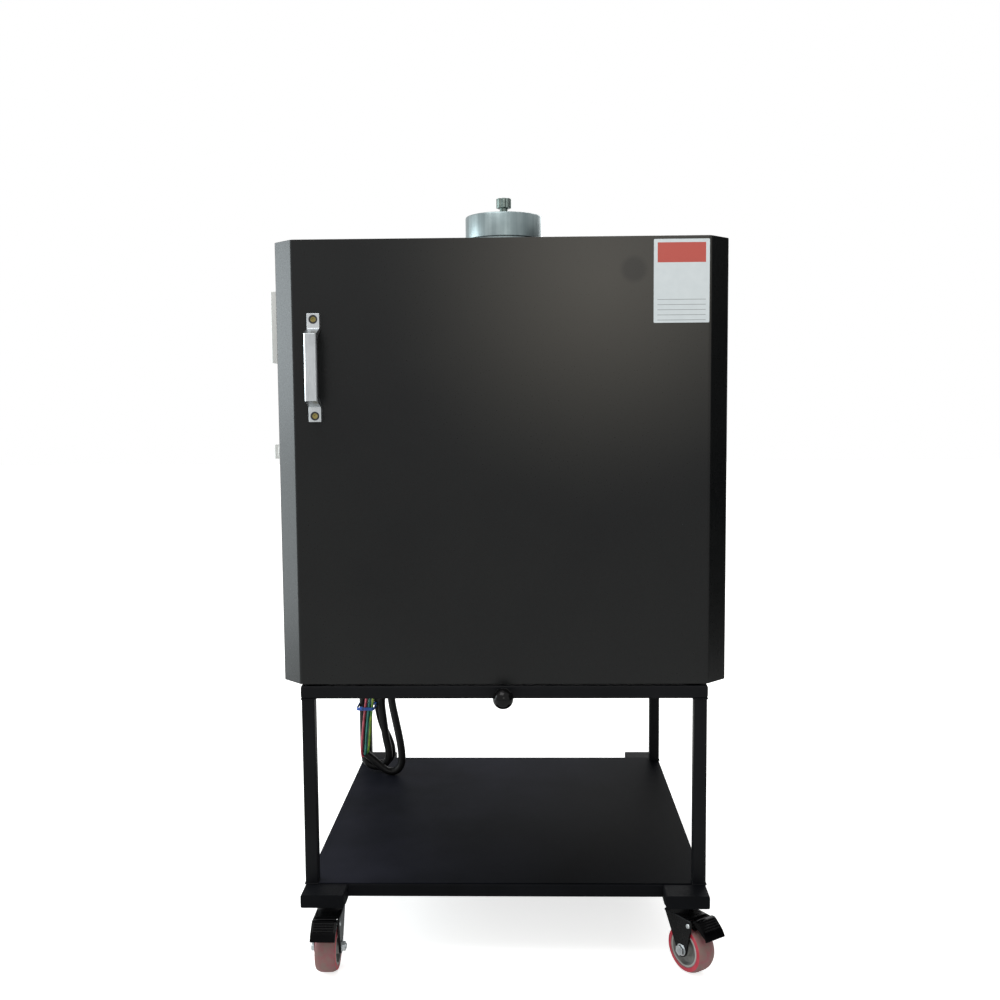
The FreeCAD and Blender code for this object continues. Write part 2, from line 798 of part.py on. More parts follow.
def make_flue():
    save("flue_tube", ring(flue_tube_radius, flue_bore, chamber_roof, body_top + flue_tube_rise))

    collar_bore = flue_tube_radius + flue_hole_gap
    collar = ring(spigot_radius + spigot_flange, collar_bore, body_top, body_top + sheet)
    neck = ring(spigot_radius, spigot_radius - cap_sheet, body_top, cap_top - cap_sheet - flue_fit)
    save("flue_spigot", fuse([collar, neck]))

    rim = cap_top - cap_skirt
    under = cap_top - cap_sheet
    cap = rod(cap_radius, (0, flue_y, rim), (0, flue_y, cap_top))
    cap = cap.makeFillet(cap_rounding, edges_where(cap, lambda edge: near(edge.CenterOfMass.z, cap_top)))
    cap = cap.cut(rod(cap_radius - cap_sheet, (0, flue_y, rim - drill_margin), (0, flue_y, under)))
    stud_hole = rod(stud_radius, (0, flue_y, under - drill_margin), (0, flue_y, cap_top + drill_margin))
    save("flue_cap", cap.cut(stud_hole))

    head_low = cap_top + knob_neck
    head_high = head_low + knob_height
    head = rod(knob_radius, (0, flue_y, head_low), (0, flue_y, head_high))
    for i in range(knob_flutes):
        turn = math.radians((i + 0.5) * 360 / knob_flutes)
        x = (knob_radius + knob_flute_offset) * math.cos(turn)
        y = flue_y + (knob_radius + knob_flute_offset) * math.sin(turn)
        head = head.cut(rod(knob_flute_radius, (x, y, head_low - drill_margin), (x, y, head_high + drill_margin)))
    neck = rod(knob_neck_radius, (0, flue_y, cap_top), (0, flue_y, head_low))
    stud = rod(stud_radius, (0, flue_y, under - stud_length), (0, flue_y, head_low))
    nut = hex_prism(stud_nut_flats, (0, flue_y, under - stud_nut_height), (0, 0, 1), stud_nut_height)
    save("flue_cap_knob", fuse([head, neck, stud, nut]))


# air inlet damper under the floor panel
def make_damper():
    half = damper_plate_half
    plate_high = damper_level + damper_plate_thickness
    plate = box(-half, half, -half, half, damper_level, plate_high)
    lug = box(-lug_width / 2, lug_width / 2, -half - lug_thickness, -half,
              damper_rod_level - lug_below_rod, plate_high)
    save("damper_plate", fuse([plate, lug]))

    ball_y = front - damper_knob_reach
    shank = rod(damper_rod_radius, (0, ball_y, damper_rod_level), (0, -half - lug_thickness, damper_rod_level))
    save("damper_rod", shank)

    flat_y = ball_y + damper_knob_radius - damper_knob_flat
    ball = Part.makeSphere(damper_knob_radius, Vector(0, ball_y, damper_rod_level))
    back = rod(damper_knob_radius, (0, flat_y, damper_rod_level),
               (0, flat_y + damper_knob_radius, damper_rod_level))
    save("damper_knob", ball.cut(back).cut(shank))

    guides = []
    web = half + guide_gap
    lip_top = damper_level - seat_gap
    lip_low = lip_top - guide_sheet
    y0 = -half - damper_travel - lug_thickness
    y1 = half + guide_overrun
    for side in (-1, 1):
        top = box(side * web, side * (web + guide_flange), y0, y1, frame_top - guide_sheet, frame_top)
        wall = box(side * web, side * (web + guide_sheet), y0, y1, lip_low, frame_top)
        lip = box(side * (web + guide_sheet - guide_lip), side * (web + guide_sheet), y0, y1, lip_low, lip_top)
        guides.append(fuse([top, wall, lip]))
    save("damper_guides", *guides)


# controls
def make_controls():
    x_in = -body_half
    x_out = x_in - control_depth
    y0 = case_front + control_setback
    y1 = y0 + control_length
    z1 = body_top - control_drop
    z0 = z1 - control_height
    wall = control_wall
    housing = box(x_out, x_in, y0, y1, z0, z1)
    housing = housing.makeChamfer(control_bevel,
                                  edges_where(housing, lambda edge: near(edge.CenterOfMass.x, x_out)))
    hollow = box(x_out + screen_depth + wall, x_in + drill_margin, y0 + wall, y1 - wall, z0 + wall, z1 - wall)
    ym = (y0 + y1) / 2
    zm = (z0 + z1) / 2
    a = screen_length / 2
    b = screen_height / 2
    pocket = box(x_out - drill_margin, x_out + screen_depth, ym - a, ym + a, zm - b, zm + b)
    save("control_housing", housing.cut(hollow).cut(pocket))
    a -= screen_gap
    b -= screen_gap
    save("touch_screen", box(x_out, x_out + screen_depth, ym - a, ym + a, zm - b, zm + b))

    base_out = x_in - switch_base_height
    base = rod(switch_base_radius, (x_in, switch_y, switch_level), (base_out, switch_y, switch_level))
    base = base.makeFillet(switch_rounding,
                           edges_where(base, lambda edge: near(edge.CenterOfMass.x, base_out)))
    bore = switch_shaft_radius + running_clearance
    shaft_hole = rod(bore, (x_in - drill_margin, switch_y, switch_level),
                     (base_out - drill_margin, switch_y, switch_level))
    save("power_switch_base", base.cut(shaft_hole))

    knob_in = base_out - switch_gap
    knob_out = knob_in - switch_knob_height
    grip_out = knob_out - switch_grip_height
    disc = rod(switch_knob_radius, (knob_in, switch_y, switch_level), (knob_out, switch_y, switch_level))
    disc = disc.makeFillet(switch_rounding,
                           edges_where(disc, lambda edge: near(edge.CenterOfMass.x, knob_out)))
    half = switch_grip_width / 2
    reach = switch_knob_radius - switch_grip_inset
    grip = box(knob_out + switch_grip_root, grip_out, switch_y - half, switch_y + half,
               switch_level - reach, switch_level + reach)
    grip = grip.makeFillet(switch_rounding,
                           edges_where(grip, lambda edge: near(edge.CenterOfMass.x, grip_out)))
    shaft = rod(switch_shaft_radius, (knob_in, switch_y, switch_level),
                (x_in - switch_shaft_reach, switch_y, switch_level))
    save("power_switch_knob", fuse([disc, grip, shaft]))


# door
def handle_profile():
    """Side view of the bow handle: two feet, two sloping arms and the grip, as (y, z)."""
    h = handle_length / 2
    foot = handle_foot_length
    arm = foot + handle_slope
    face = front - handle_foot
    grip = front - handle_reach
    outer = [(front, h), (face, h), (face, h - foot), (grip, h - arm),
             (grip, arm - h), (face, foot - h), (face, -h), (front, -h)]
    inner_top = h - foot
    inner_arm = h - arm - handle_inner_slope
    bar = grip + handle_bar
    inner = [(front, -inner_top), (bar, -inner_arm), (bar, inner_arm), (front, inner_top)]
    return [(y, z + handle_level) for y, z in outer + inner]


def handle_screw_places():
    return [(-handle_x, handle_level + s * handle_screw_spacing / 2) for s in (-1, 1)]


def make_handle():
    half = handle_width / 2
    handle = prism_x(handle_profile(), -handle_x - half, -handle_x + half)
    grip = front - handle_reach
    handle = handle.makeChamfer(handle_bevel, edges_where(
        handle, lambda edge: near(edge.CenterOfMass.y, grip) and runs_along(edge, "z")))
    face = front - handle_foot
    screws = []
    for x, z in handle_screw_places():
        seat = face + screw_head_height + screw_recess
        head_face = seat - screw_head_height
        start = face - drill_margin
        handle = handle.cut(rod(screw_head_radius + screw_head_gap, (x, start, z), (x, seat, z)))
        handle = handle.cut(rod(screw_radius, (x, start, z), (x, front + drill_margin, z)))
        head = rod(screw_head_radius, (x, head_face, z), (x, seat, z))
        socket = hex_prism(socket_flats, (x, head_face - drill_margin, z), (0, 1, 0), drill_margin + socket_depth)
        shank = rod(screw_radius, (x, seat - drill_margin, z), (x, front + screw_length, z))
        screws.append(fuse([head, shank]).cut(socket))
    save("door_handle", handle)
    save("handle_screws", *screws)


def make_door():
    low = door_bottom + sheet
    high = body_top - sheet
    board_back = front + sheet + door_board
    pan = door_block(0, door_rear, door_bottom, body_top)
    pan = pan.cut(door_block(sheet, door_rear + drill_margin, low, high))
    board = door_block(sheet, board_back, low, high)
    for x, z in handle_screw_places():
        hole = rod(screw_radius + screw_hole_gap, (x, front - drill_margin, z),
                   (x, front + screw_length + drill_margin, z))
        pan = pan.cut(hole)
        board = board.cut(hole)
    save("door_pan", pan)

    plug_half = chamber_half - plug_clearance
    plug_low = chamber_floor + plug_clearance
    plug_high = chamber_roof - plug_clearance
    plug_end = mouth + plug_length
    frame_front = door_rear - sheet
    gap = plug_frame_gap
    frame = box(-inner_half, inner_half, frame_front, door_rear, low, high)
    opening = box(-plug_half - gap, plug_half + gap, frame_front - drill_margin, door_rear + drill_margin,
                  plug_low - gap, plug_high + gap)
    save("door_inner_frame", frame.cut(opening))

    brick = box(-inner_half, inner_half, board_back, frame_front, low, high)
    plug = box(-plug_half, plug_half, frame_front - drill_margin, plug_end, plug_low, plug_high)
    plug = plug.makeChamfer(plug_bevel,
                            edges_where(plug, lambda edge: near(edge.CenterOfMass.y, plug_end)))
    save("door_lining", board, fuse([brick, plug]))

    inner = gasket_offset
    outer = gasket_offset + gasket_width
    rope_back = case_front - seat_gap
    rope = box(-chamber_half - outer, chamber_half + outer, door_rear, rope_back,
               chamber_floor - outer, chamber_roof + outer)
    rope = rope.cut(box(-chamber_half - inner, chamber_half + inner,
                        door_rear - drill_margin, rope_back + drill_margin,
                        chamber_floor - inner, chamber_roof + inner))
    rope = rope.makeFillet(gasket_rounding,
                           edges_where(rope, lambda edge: near(edge.CenterOfMass.y, rope_back)))
    save("door_gasket", rope)


# hinges and catch
def make_hinges():
    door_leaves = []
    case_leaves = []
    leaf_out = body_half + leaf_thickness
    pin_bore = hinge_pin_radius + running_clearance
    for level in (frame_top + lower_hinge, body_top - upper_hinge):
        low = level - knuckle_length
        high = level + knuckle_length
        pin_top = high - hinge_pin_cover
        lower = rod(knuckle_radius, (hinge_x, hinge_y, low), (hinge_x, hinge_y, level - knuckle_gap))
        pin = rod(hinge_pin_radius, (hinge_x, hinge_y, low), (hinge_x, hinge_y, pin_top))
        case_edge = hinge_y + leaf_gap
        plate = box(body_half, leaf_out, case_edge, case_edge + leaf_length, low, high)
        bridge = box(body_half, leaf_out, case_front, case_edge + leaf_lap, low, level - knuckle_gap)
        tongue = box(hinge_x - knuckle_radius, leaf_out, hinge_y, case_front, low, level - knuckle_gap)
        case_leaves.append(fuse([lower, pin, plate, bridge, tongue]))
        upper = rod(knuckle_radius, (hinge_x, hinge_y, level), (hinge_x, hinge_y, high))
        door_edge = hinge_y - leaf_gap
        plate = box(body_half, leaf_out, door_edge - leaf_length, door_edge, low, high)
        bridge = box(body_half, leaf_out, door_edge - leaf_lap, door_rear, level, high)
        tongue = box(hinge_x - knuckle_radius, leaf_out, door_rear, hinge_y, level, high)
        bore = rod(pin_bore, (hinge_x, hinge_y, level - drill_margin),
                   (hinge_x, hinge_y, pin_top + hinge_pin_end_gap))
        door_leaves.append(fuse([upper, plate, bridge, tongue]).cut(bore))
    save("door_hinge_leaves", *door_leaves)
    save("casing_hinge_leaves", *case_leaves)

    magnets = []
    middle = (frame_top + body_top) / 2
    for z in (middle - magnet_spacing / 2, middle + magnet_spacing / 2):
        x = magnet_inset - body_half
        magnets.append(rod(magnet_radius, (x, case_front, z), (x, door_rear + seat_gap, z)))
    save("catch_magnets", *magnets)


# supply cable, hung in a hank under the body
def hank_solid():
    """An upright slab with half-round ends, the outer shape of the hank."""
    radius = hank_width / 2
    middle = (hank_left + hank_right) / 2
    low = hank_bottom + radius
    high = hank_top - radius
    slab = box(hank_left, hank_right, hank_front, hank_rear, low, high)
    return fuse([slab] + [rod(radius, (middle, hank_front, z), (middle, hank_rear, z)) for z in (low, high)])


def arc_tube(name, points, radius):
    """A tube of straight runs joined by tangent arcs, with its bend radii printed."""
    route = [Vector(*p) for p in points]
    start = route[0]
    edges = []
    radii = []
    for before, corner, after in zip(route, route[1:], route[2:]):
        a = before - corner
        b = after - corner
        turn = math.pi - a.getAngle(b)
        reach = 0.45 * min(a.Length, b.Length)
        bend = reach / math.tan(turn / 2)
        a.normalize()
        b.normalize()
        inward = (a + b).normalize()
        centre = corner + inward * (bend / math.cos(turn / 2))
        first = corner + a * reach
        last = corner + b * reach
        edges.append(Part.LineSegment(start, first).toShape())
        edges.append(Part.Arc(first, centre - inward * bend, last).toShape())
        start = last
        radii.append(round(bend))
    edges.append(Part.LineSegment(start, route[-1]).toShape())
    wire = Part.Wire(edges)
    section = Part.Wire([Part.makeCircle(radius, route[0], route[1] - route[0])])
    solid = wire.makePipeShell([section], True, False)
    ratio = solid.Volume / (math.pi * radius ** 2 * wire.Length)
    print(name, "length", round(wire.Length), "radii", radii, "volume ratio", round(ratio, 4))
    return solid


core_routes = {
    "core_red": [(-297, 185.5, 166), (-293.5, 184.6, 205), (-291, 185.2, 250),
                 (-287, 185.6, 300), (-284, 186, 350)],
    "core_blue": [(-290, 185.6, 160), (-287.8, 184.8, 205), (-285.6, 185, 250),
                  (-281, 185.4, 300), (-276.5, 185.8, 352)],
    "core_green": [(-283.5, 185.6, 172), (-282, 184.9, 212), (-279.8, 185.1, 255),
                   (-274.5, 185.5, 303), (-268, 186, 356)],
}


def make_cable():
    gland_low = frame_top - gland_height
    nut_low = gland_low + gland_neck_height
    nut = hex_prism(gland_flats, (gland_x, gland_y, nut_low), (0, 0, 1), frame_top - nut_low)
    neck_profile = [(0, 0), (0, gland_neck_radius - gland_neck_taper), (gland_neck_height, gland_neck_radius),
                    (gland_neck_height, 0)]
    neck = revolve(neck_profile, (gland_x, gland_y, gland_low), (0, 0, 1), (1, 0, 0))
    save("cable_gland", fuse([nut, neck]))

    hank = hank_solid()
    cable = rod(cable_radius, (gland_x, gland_y, gland_low), (gland_x, gland_y, hank_top - cable_end_drop))
    save("supply_cable", cable.cut(hank))
    save("cable_hank", hank)
    for name, points in core_routes.items():
        save(name, arc_tube(name, points, core_radius))

    low = tray_top + tie_height
    high = low + tie_width
    outside = hank_left - tie_thickness
    tie_right = hank_left + tie_reach
    face = hank_front - 2 * core_radius - tie_gap - tie_thickness
    strap = box(outside, tie_right, face, face + tie_thickness, low, high)
    side = box(outside, hank_left, face, hank_rear, low, high)
    inner = box(tie_right - tie_thickness, tie_right, face, hank_front, low, high)
    save("cable_tie", fuse([strap, side, inner]))


os.makedirs("parts", exist_ok=True)
make_stand()
make_casters()
make_casing()
make_terminal_cover()
make_lining()
make_elements()
make_flue()
make_damper()
make_controls()
make_handle()
make_door()
make_hinges()
make_cable()
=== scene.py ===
import math
from itertools import product

import bmesh
import bpy
from mathutils import Matrix, Vector


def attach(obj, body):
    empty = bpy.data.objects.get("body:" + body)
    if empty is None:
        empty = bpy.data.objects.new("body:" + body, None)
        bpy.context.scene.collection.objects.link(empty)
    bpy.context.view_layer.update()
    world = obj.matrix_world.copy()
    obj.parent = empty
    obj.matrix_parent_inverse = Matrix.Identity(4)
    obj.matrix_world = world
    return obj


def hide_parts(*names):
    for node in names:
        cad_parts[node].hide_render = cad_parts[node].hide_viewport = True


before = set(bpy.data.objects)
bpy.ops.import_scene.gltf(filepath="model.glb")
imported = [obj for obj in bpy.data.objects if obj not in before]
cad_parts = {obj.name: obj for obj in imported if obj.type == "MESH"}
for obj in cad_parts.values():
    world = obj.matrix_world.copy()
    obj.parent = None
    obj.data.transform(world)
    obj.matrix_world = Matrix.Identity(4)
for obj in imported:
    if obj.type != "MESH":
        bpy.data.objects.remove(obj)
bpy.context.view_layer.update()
print("frame loaded:", len(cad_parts), "nodes")

# shapes are drawn in millimetres from the kiln's middle plane, which lies 10 mm right of the frame's
middlePlane = 0.010
toFrame = Matrix.Translation((middlePlane, 0, 0)) @ Matrix.Scale(0.001, 4)
root = "kiln_and_stand"  # the body that stands still


# shapes

def addBox(bm, x, y, z):  # each a low and a high limit
    low, high = (Vector(ends) for ends in zip(x, y, z))
    place = Matrix.Translation((low + high) / 2) @ Matrix.Diagonal((*(high - low), 1))
    bmesh.ops.create_cube(bm, size=1, matrix=place)


def addRod(bm, start, end, radius, sides=32, tip=None):
    a, b = Vector(start), Vector(end)
    turn = (b - a).to_track_quat("Z", "Y").to_matrix().to_4x4()
    bmesh.ops.create_cone(bm, cap_ends=True, segments=sides, radius1=radius, radius2=tip or radius,
                          depth=(b - a).length, matrix=Matrix.Translation((a + b) / 2) @ turn)


def addLathe(bm, profile, centre, axis, sides=72):
    # profile: (radius, height along the axis) in order; a profile off the axis is closed to a ring
    axis, centre = Vector(axis), Vector(centre)
    across = axis.orthogonal().normalized()
    ring = [bm.verts.new(centre + across * r + axis * h) for r, h in profile]
    edges = [bm.edges.new(pair) for pair in zip(ring, ring[1:])]
    if profile[0][0] > 0.01 and profile[-1][0] > 0.01:
        edges.append(bm.edges.new((ring[-1], ring[0])))
    bmesh.ops.spin(bm, geom=ring + edges, cent=centre, axis=axis, angle=math.tau, steps=sides, use_merge=True)
    bmesh.ops.remove_doubles(bm, verts=bm.verts, dist=0.002)
    bmesh.ops.recalc_face_normals(bm, faces=bm.faces)


def addPrism(bm, outline, along):  # outline of points, swept by a vector
    face = bm.faces.new([bm.verts.new(p) for p in outline])
    made = bmesh.ops.extrude_face_region(bm, geom=[face])["geom"]
    bmesh.ops.translate(bm, vec=along, verts=[v for v in made if isinstance(v, bmesh.types.BMVert)])
    bmesh.ops.recalc_face_normals(bm, faces=bm.faces)


def roundEdges(bm, test, radius, segments):
    edges = [e for e in bm.edges if test((e.verts[0].co + e.verts[1].co) / 2,
                                         (e.verts[1].co - e.verts[0].co).normalized())]
    bmesh.ops.bevel(bm, geom=edges, offset=radius, segments=segments, profile=0.5, affect="EDGES", material=-1)


def newObject(name, data):
    obj = bpy.data.objects.new(name, data)
    bpy.context.scene.collection.objects.link(obj)
    return obj


def piece(name, bm, material, body=root, stands=(), rounding=0.0, segments=2, angle=35, place=None, wall=0.0):
    # its mesh goes to the frame's metres, its edges are rounded or set sharp, and it joins its body
    bm.transform(toFrame @ place if place else toFrame)
    mesh = bpy.data.meshes.new(name)
    bm.to_mesh(mesh)
    bm.free()
    obj = newObject(name, mesh)
    mesh.materials.append(material)
    mesh.shade_smooth()
    if wall:
        skin = obj.modifiers.new("wall", "SOLIDIFY")
        skin.thickness = wall / 1000
        skin.offset = -1
    if rounding:
        soft = obj.modifiers.new("edges", "BEVEL")
        soft.width = rounding / 1000
        soft.segments = segments
        soft.limit_method = "ANGLE"
        soft.angle_limit = math.radians(angle)
        even = obj.modifiers.new("flat faces", "WEIGHTED_NORMAL")  # large faces stay flat beside rounded edges
        even.weight = 90
    else:
        mesh.set_sharp_from_angle(angle=math.radians(angle))
    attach(obj, body)
    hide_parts(*stands)
    return obj


def screwSet(name, material, screws, body=root):
    # button heads with a round socket: where each one's back lies, its axis, radius, height and socket
    bm = bmesh.new()
    mesh = bpy.data.meshes.new("screw")
    for place, axis, radius, height, socket in screws:
        part = bmesh.new()
        profile = [(0, socket * 0.25), (socket, socket * 0.25), (socket, height * 0.97),
                   (socket + 0.3, height), (radius * 0.78, height * 0.86), (radius * 0.97, height * 0.4),
                   (radius, -0.3), (0, -0.3)]
        addLathe(part, profile, (0, 0, 0), (0, 0, 1), sides=18)
        turn = Vector(axis).to_track_quat("Z", "Y").to_matrix().to_4x4()
        part.transform(Matrix.Translation(place) @ turn)
        part.to_mesh(mesh)
        part.free()
        bm.from_mesh(mesh)
    bpy.data.meshes.remove(mesh)
    piece(name, bm, material, body, angle=40)


def solidsOf(bm):
    # a node's faces come solid after solid, and each solid is closed: every edge is met twice
    unmatched, group = set(), []
    for face in bm.faces:
        corners = [v.co.to_tuple(4) for v in face.verts]
        for pair in zip(corners, corners[1:] + corners[:1]):
            unmatched ^= {tuple(sorted(pair))}
        group.append(face)
        if not unmatched:
            yield group
            group = []
    if group:
        yield group


def dressNode(name, node, material, body=root, rounding=0.5, segments=2, keep=None):
    # a cleaned, softened copy of a node's solids, or of those that keep picks, that stands for it
    bm = bmesh.new()
    bm.from_mesh(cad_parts[node].data)
    bm.transform(toFrame.inverted())
    if keep:
        for group in list(solidsOf(bm)):
            spots = [v.co for face in group for v in face.verts]
            low = Vector([min(spot[i] for spot in spots) for i in range(3)])
            high = Vector([max(spot[i] for spot in spots) for i in range(3)])
            if not keep(low, high):
                bmesh.ops.delete(bm, geom=group, context="FACES")
    bmesh.ops.remove_doubles(bm, verts=bm.verts, dist=0.01)
    bmesh.ops.dissolve_limit(bm, angle_limit=math.radians(1), verts=bm.verts, edges=bm.edges)
    piece(name, bm, material, body, stands=[node], rounding=rounding, segments=segments)


# materials

def hexColour(code):  # sRGB hex to linear
    parts = [int(code[i:i + 2], 16) / 255 for i in (1, 3, 5)]
    return [c / 12.92 if c <= 0.04045 else ((c + 0.055) / 1.055) ** 2.4 for c in parts] + [1]


def addNode(tree, kind, settings, links):
    # a value that starts with # is a colour; a link comes from a socket, or from a node's first output
    node = tree.nodes.new("ShaderNode" + kind)
    if kind == "Mix":  # all mixes here are of colours
        node.data_type = "RGBA"
    for key, value in settings.items():
        if isinstance(key, int) or key in node.inputs:
            node.inputs[key].default_value = hexColour(value) if str(value).startswith("#") else value
        else:
            setattr(node, key, value)
    for key, source in links.items():
        tree.links.new(source.outputs[0] if isinstance(source, bpy.types.Node) else source, node.inputs[key])
    return node


def newMaterial(name, **fixed):
    material = bpy.data.materials.new(name)
    material.use_nodes = True
    tree = material.node_tree
    shader = tree.nodes["Principled BSDF"]
    for key, value in fixed.items():
        shader.inputs[key.replace("_", " ")].default_value = value
    place = addNode(tree, "TexCoord", {}, {}).outputs["Object"]
    return material, tree, shader, place


def feedShader(shader, tone, gloss=None, relief=None):
    # the tone is a colour mix, and its colour is its third output
    links = shader.id_data.links
    links.new(tone.outputs[2], shader.inputs["Base Color"])
    if gloss:
        links.new(gloss.outputs[0], shader.inputs["Roughness"])
    if relief:
        links.new(relief.outputs[0], shader.inputs["Normal"])


def paintedSkin(name, low, high, cloudMm, grainMm, gloss, depthMm=0.01, shine=0.5, **fixed):
    # a coat or moulded skin: soft cloudy tone, uneven gloss, fine relief
    material, tree, shader, place = newMaterial(name, Specular_IOR_Level=shine, **fixed)
    cloud = addNode(tree, "TexNoise", {"Scale": 1000 / cloudMm, "Detail": 4.0}, {"Vector": place})
    grain = addNode(tree, "TexNoise", {"Scale": 1000 / grainMm, "Detail": 2.0}, {"Vector": place})
    soft = addNode(tree, "MapRange", {"From Min": 0.3, "From Max": 0.7}, {"Value": cloud})
    tone = addNode(tree, "Mix", {6: low, 7: high}, {0: soft})
    span = {"From Min": 0.3, "From Max": 0.7, "To Min": gloss[0], "To Max": gloss[1]}
    rough = addNode(tree, "MapRange", span, {"Value": grain})
    relief = addNode(tree, "Bump", {"Strength": 1.0, "Distance": depthMm / 1000}, {"Height": grain})
    feedShader(shader, tone, rough, relief)
    return material


def drawnMetal(name, low, high, stretch, markMm, cloudMm, gloss, depthMm):
    # metal with marks drawn out along one direction
    material, tree, shader, place = newMaterial(name, Metallic=1.0)
    drawn = addNode(tree, "Mapping", {"Scale": stretch}, {"Vector": place})
    marks = addNode(tree, "TexNoise", {"Scale": 1000 / markMm, "Detail": 3.0, "Roughness": 0.6},
                    {"Vector": drawn})
    cloud = addNode(tree, "TexNoise", {"Scale": 1000 / cloudMm, "Detail": 3.0}, {"Vector": place})
    blend = addNode(tree, "Math", {"operation": "MULTIPLY"}, {0: marks, 1: cloud})
    share = addNode(tree, "MapRange", {"From Min": 0.12, "From Max": 0.4}, {"Value": blend})
    tone = addNode(tree, "Mix", {6: low, 7: high}, {0: share})
    rough = addNode(tree, "MapRange", {"To Min": gloss[0], "To Max": gloss[1]}, {"Value": marks})
    relief = addNode(tree, "Bump", {"Strength": 1.0, "Distance": depthMm / 1000}, {"Height": marks})
    feedShader(shader, tone, rough, relief)
    return material


# sprayed and baked: a slight orange peel of about 2 mm softens every reflection
blackCoat = paintedSkin(
    "satin black powder coat", "#0e0f10", "#151617", cloudMm=160, grainMm=2.2, gloss=(0.3, 0.38),
    depthMm=0.012, shine=0.28)
# the stand's coat: the same black, thinner and duller, a touch blue
standCoat = paintedSkin(
    "dull black powder coat", "#07080a", "#0d0e11", cloudMm=90, grainMm=2.0, gloss=(0.4, 0.5), depthMm=0.012,
    shine=0.1)
# the same coat worn matt on the base beams, where boots rest
beamCoat = paintedSkin(
    "worn black powder coat", "#07080a", "#0d0e11", cloudMm=90, grainMm=2.0, gloss=(0.55, 0.7), depthMm=0.012,
    shine=0.05)
# a thin conversion layer over pressed steel: oily sheen and faint brown cast
blackZinc = paintedSkin(
    "black passivated zinc", "#0a0b0c", "#141415", cloudMm=22, grainMm=1.5, gloss=(0.22, 0.34), depthMm=0.006,
    shine=0.1)
# the pedals' dip coat: a deeper black, wet-looking where fingers and boots rub it
pedalCoat = paintedSkin(
    "glossy black dip coat", "#030304", "#070708", cloudMm=22, grainMm=1.5, gloss=(0.14, 0.24), depthMm=0.005,
    shine=0.04)
# the control box: a fine peel, soft and even
greyCoat = paintedSkin(
    "light grey powder coat", "#c6c8c6", "#d2d3d0", cloudMm=90, grainMm=1.6, gloss=(0.38, 0.5), depthMm=0.012)
# moulded, with the mould's fine spark texture
greyPlastic = paintedSkin("light grey ABS", "#c2c4c2", "#cfd0cd", cloudMm=30, grainMm=0.9, gloss=(0.34, 0.44))
# moulded thick: cloudy grey, dulled by floor dust
hubNylon = paintedSkin(
    "grey nylon wheel core", "#5d5e5c", "#7c7c78", cloudMm=14, grainMm=1.2, gloss=(0.45, 0.6), depthMm=0.02)
# the core's lip, rubbed pale
rimNylon = paintedSkin("pale nylon rim", "#8b8c89", "#a3a39f", cloudMm=14, grainMm=1.2, gloss=(0.4, 0.55))
# pressed and polished in the mould: small sharp highlights
phenolic = paintedSkin(
    "glossy black phenolic", "#050505", "#09090a", cloudMm=20, grainMm=6, gloss=(0.1, 0.16), depthMm=0.003,
    shine=0.16)
# moulded matt, a shade paler than the paint beside it
blackNylon = paintedSkin(
    "black polyamide", "#101011", "#19191a", cloudMm=12, grainMm=0.8, gloss=(0.42, 0.56), depthMm=0.012)
# thin moulded strap: light goes a little way in
blueNylon = paintedSkin(
    "blue nylon tie", "#15479a", "#2a64bd", cloudMm=9, grainMm=1.0, gloss=(0.3, 0.42), Subsurface_Weight=0.1)
# fired and half glazed: creamy, with a faint wet layer
steatite = paintedSkin(
    "cream steatite", "#d8d0bd", "#e6dfce", cloudMm=12, grainMm=0.8, gloss=(0.3, 0.45), Coat_Weight=0.2)
# felted and pressed fibre: dead matt, slightly hairy
fibreBoard = paintedSkin(
    "ceramic fibre board", "#d9d3c4", "#e9e4d8", cloudMm=25, grainMm=2.0, gloss=(0.85, 0.98), depthMm=0.15,
    shine=0.15)
# float glass over a dark panel: an almost clean mirror
screenGlass = paintedSkin(
    "dark cover glass", "#05070a", "#090c10", cloudMm=60, grainMm=20, gloss=(0.05, 0.1), depthMm=0.001,
    shine=0.6)
# extruded rubber: soft long highlights
sheath = paintedSkin(
    "black rubber cable sheath", "#090909", "#121213", cloudMm=30, grainMm=1.4, gloss=(0.38, 0.52),
    depthMm=0.02, shine=0.22)
# extruded PVC over the three cores: plain colour, waxy shine
coreSkin = {"cloudMm": 12, "grainMm": 1.0, "gloss": (0.34, 0.46)}
redCore = paintedSkin("red core insulation", "#8f2234", "#b84a5a", **coreSkin)
tealCore = paintedSkin("blue-green core insulation", "#0d6258", "#23877b", **coreSkin)
greenCore = paintedSkin(
    "green and yellow core insulation", "#1c7a2e", "#a2b42c", **{**coreSkin, "cloudMm": 15})
# dipped bolts: brassy, with a cloudy rainbow film, toned darker as painted shade for their recesses in the
# handle
yellowZinc = drawnMetal(
    "yellow passivated zinc", "#5a5230", "#a3965e", (1, 1, 1), markMm=1.2, cloudMm=9, gloss=(0.28, 0.42),
    depthMm=0.01)
# barrel plated: bluish silver with a soft grain
brightZinc = drawnMetal(
    "bright zinc plate", "#9da3a6", "#cfd4d6", (1, 1, 1), markMm=1.2, cloudMm=12, gloss=(0.25, 0.4),
    depthMm=0.01)
# rolled into a drum: upright bands where the rolls pressed it, soft blue-grey gloss
stainless = drawnMetal(
    "satin stainless sheet", "#6c797b", "#97a3a4", (1.0, 1.0, 0.02), markMm=14, cloudMm=60,
    gloss=(0.34, 0.46), depthMm=0.0)
# turned from bar: fine rings, greener and darker than the sheet
turnedSteel = drawnMetal(
    "turned stainless bar", "#56625d", "#7d8985", (0.2, 0.2, 1.0), markMm=1.0, cloudMm=14, gloss=(0.3, 0.42),
    depthMm=0.004)
# brushed lengthwise and anodised: fine upright lines under a soft sheen
aluminium = drawnMetal(
    "satin anodised aluminium", "#a9adb0", "#c9cdcf", (1, 1, 0.04), markMm=0.7, cloudMm=40, gloss=(0.28, 0.4),
    depthMm=0.006)
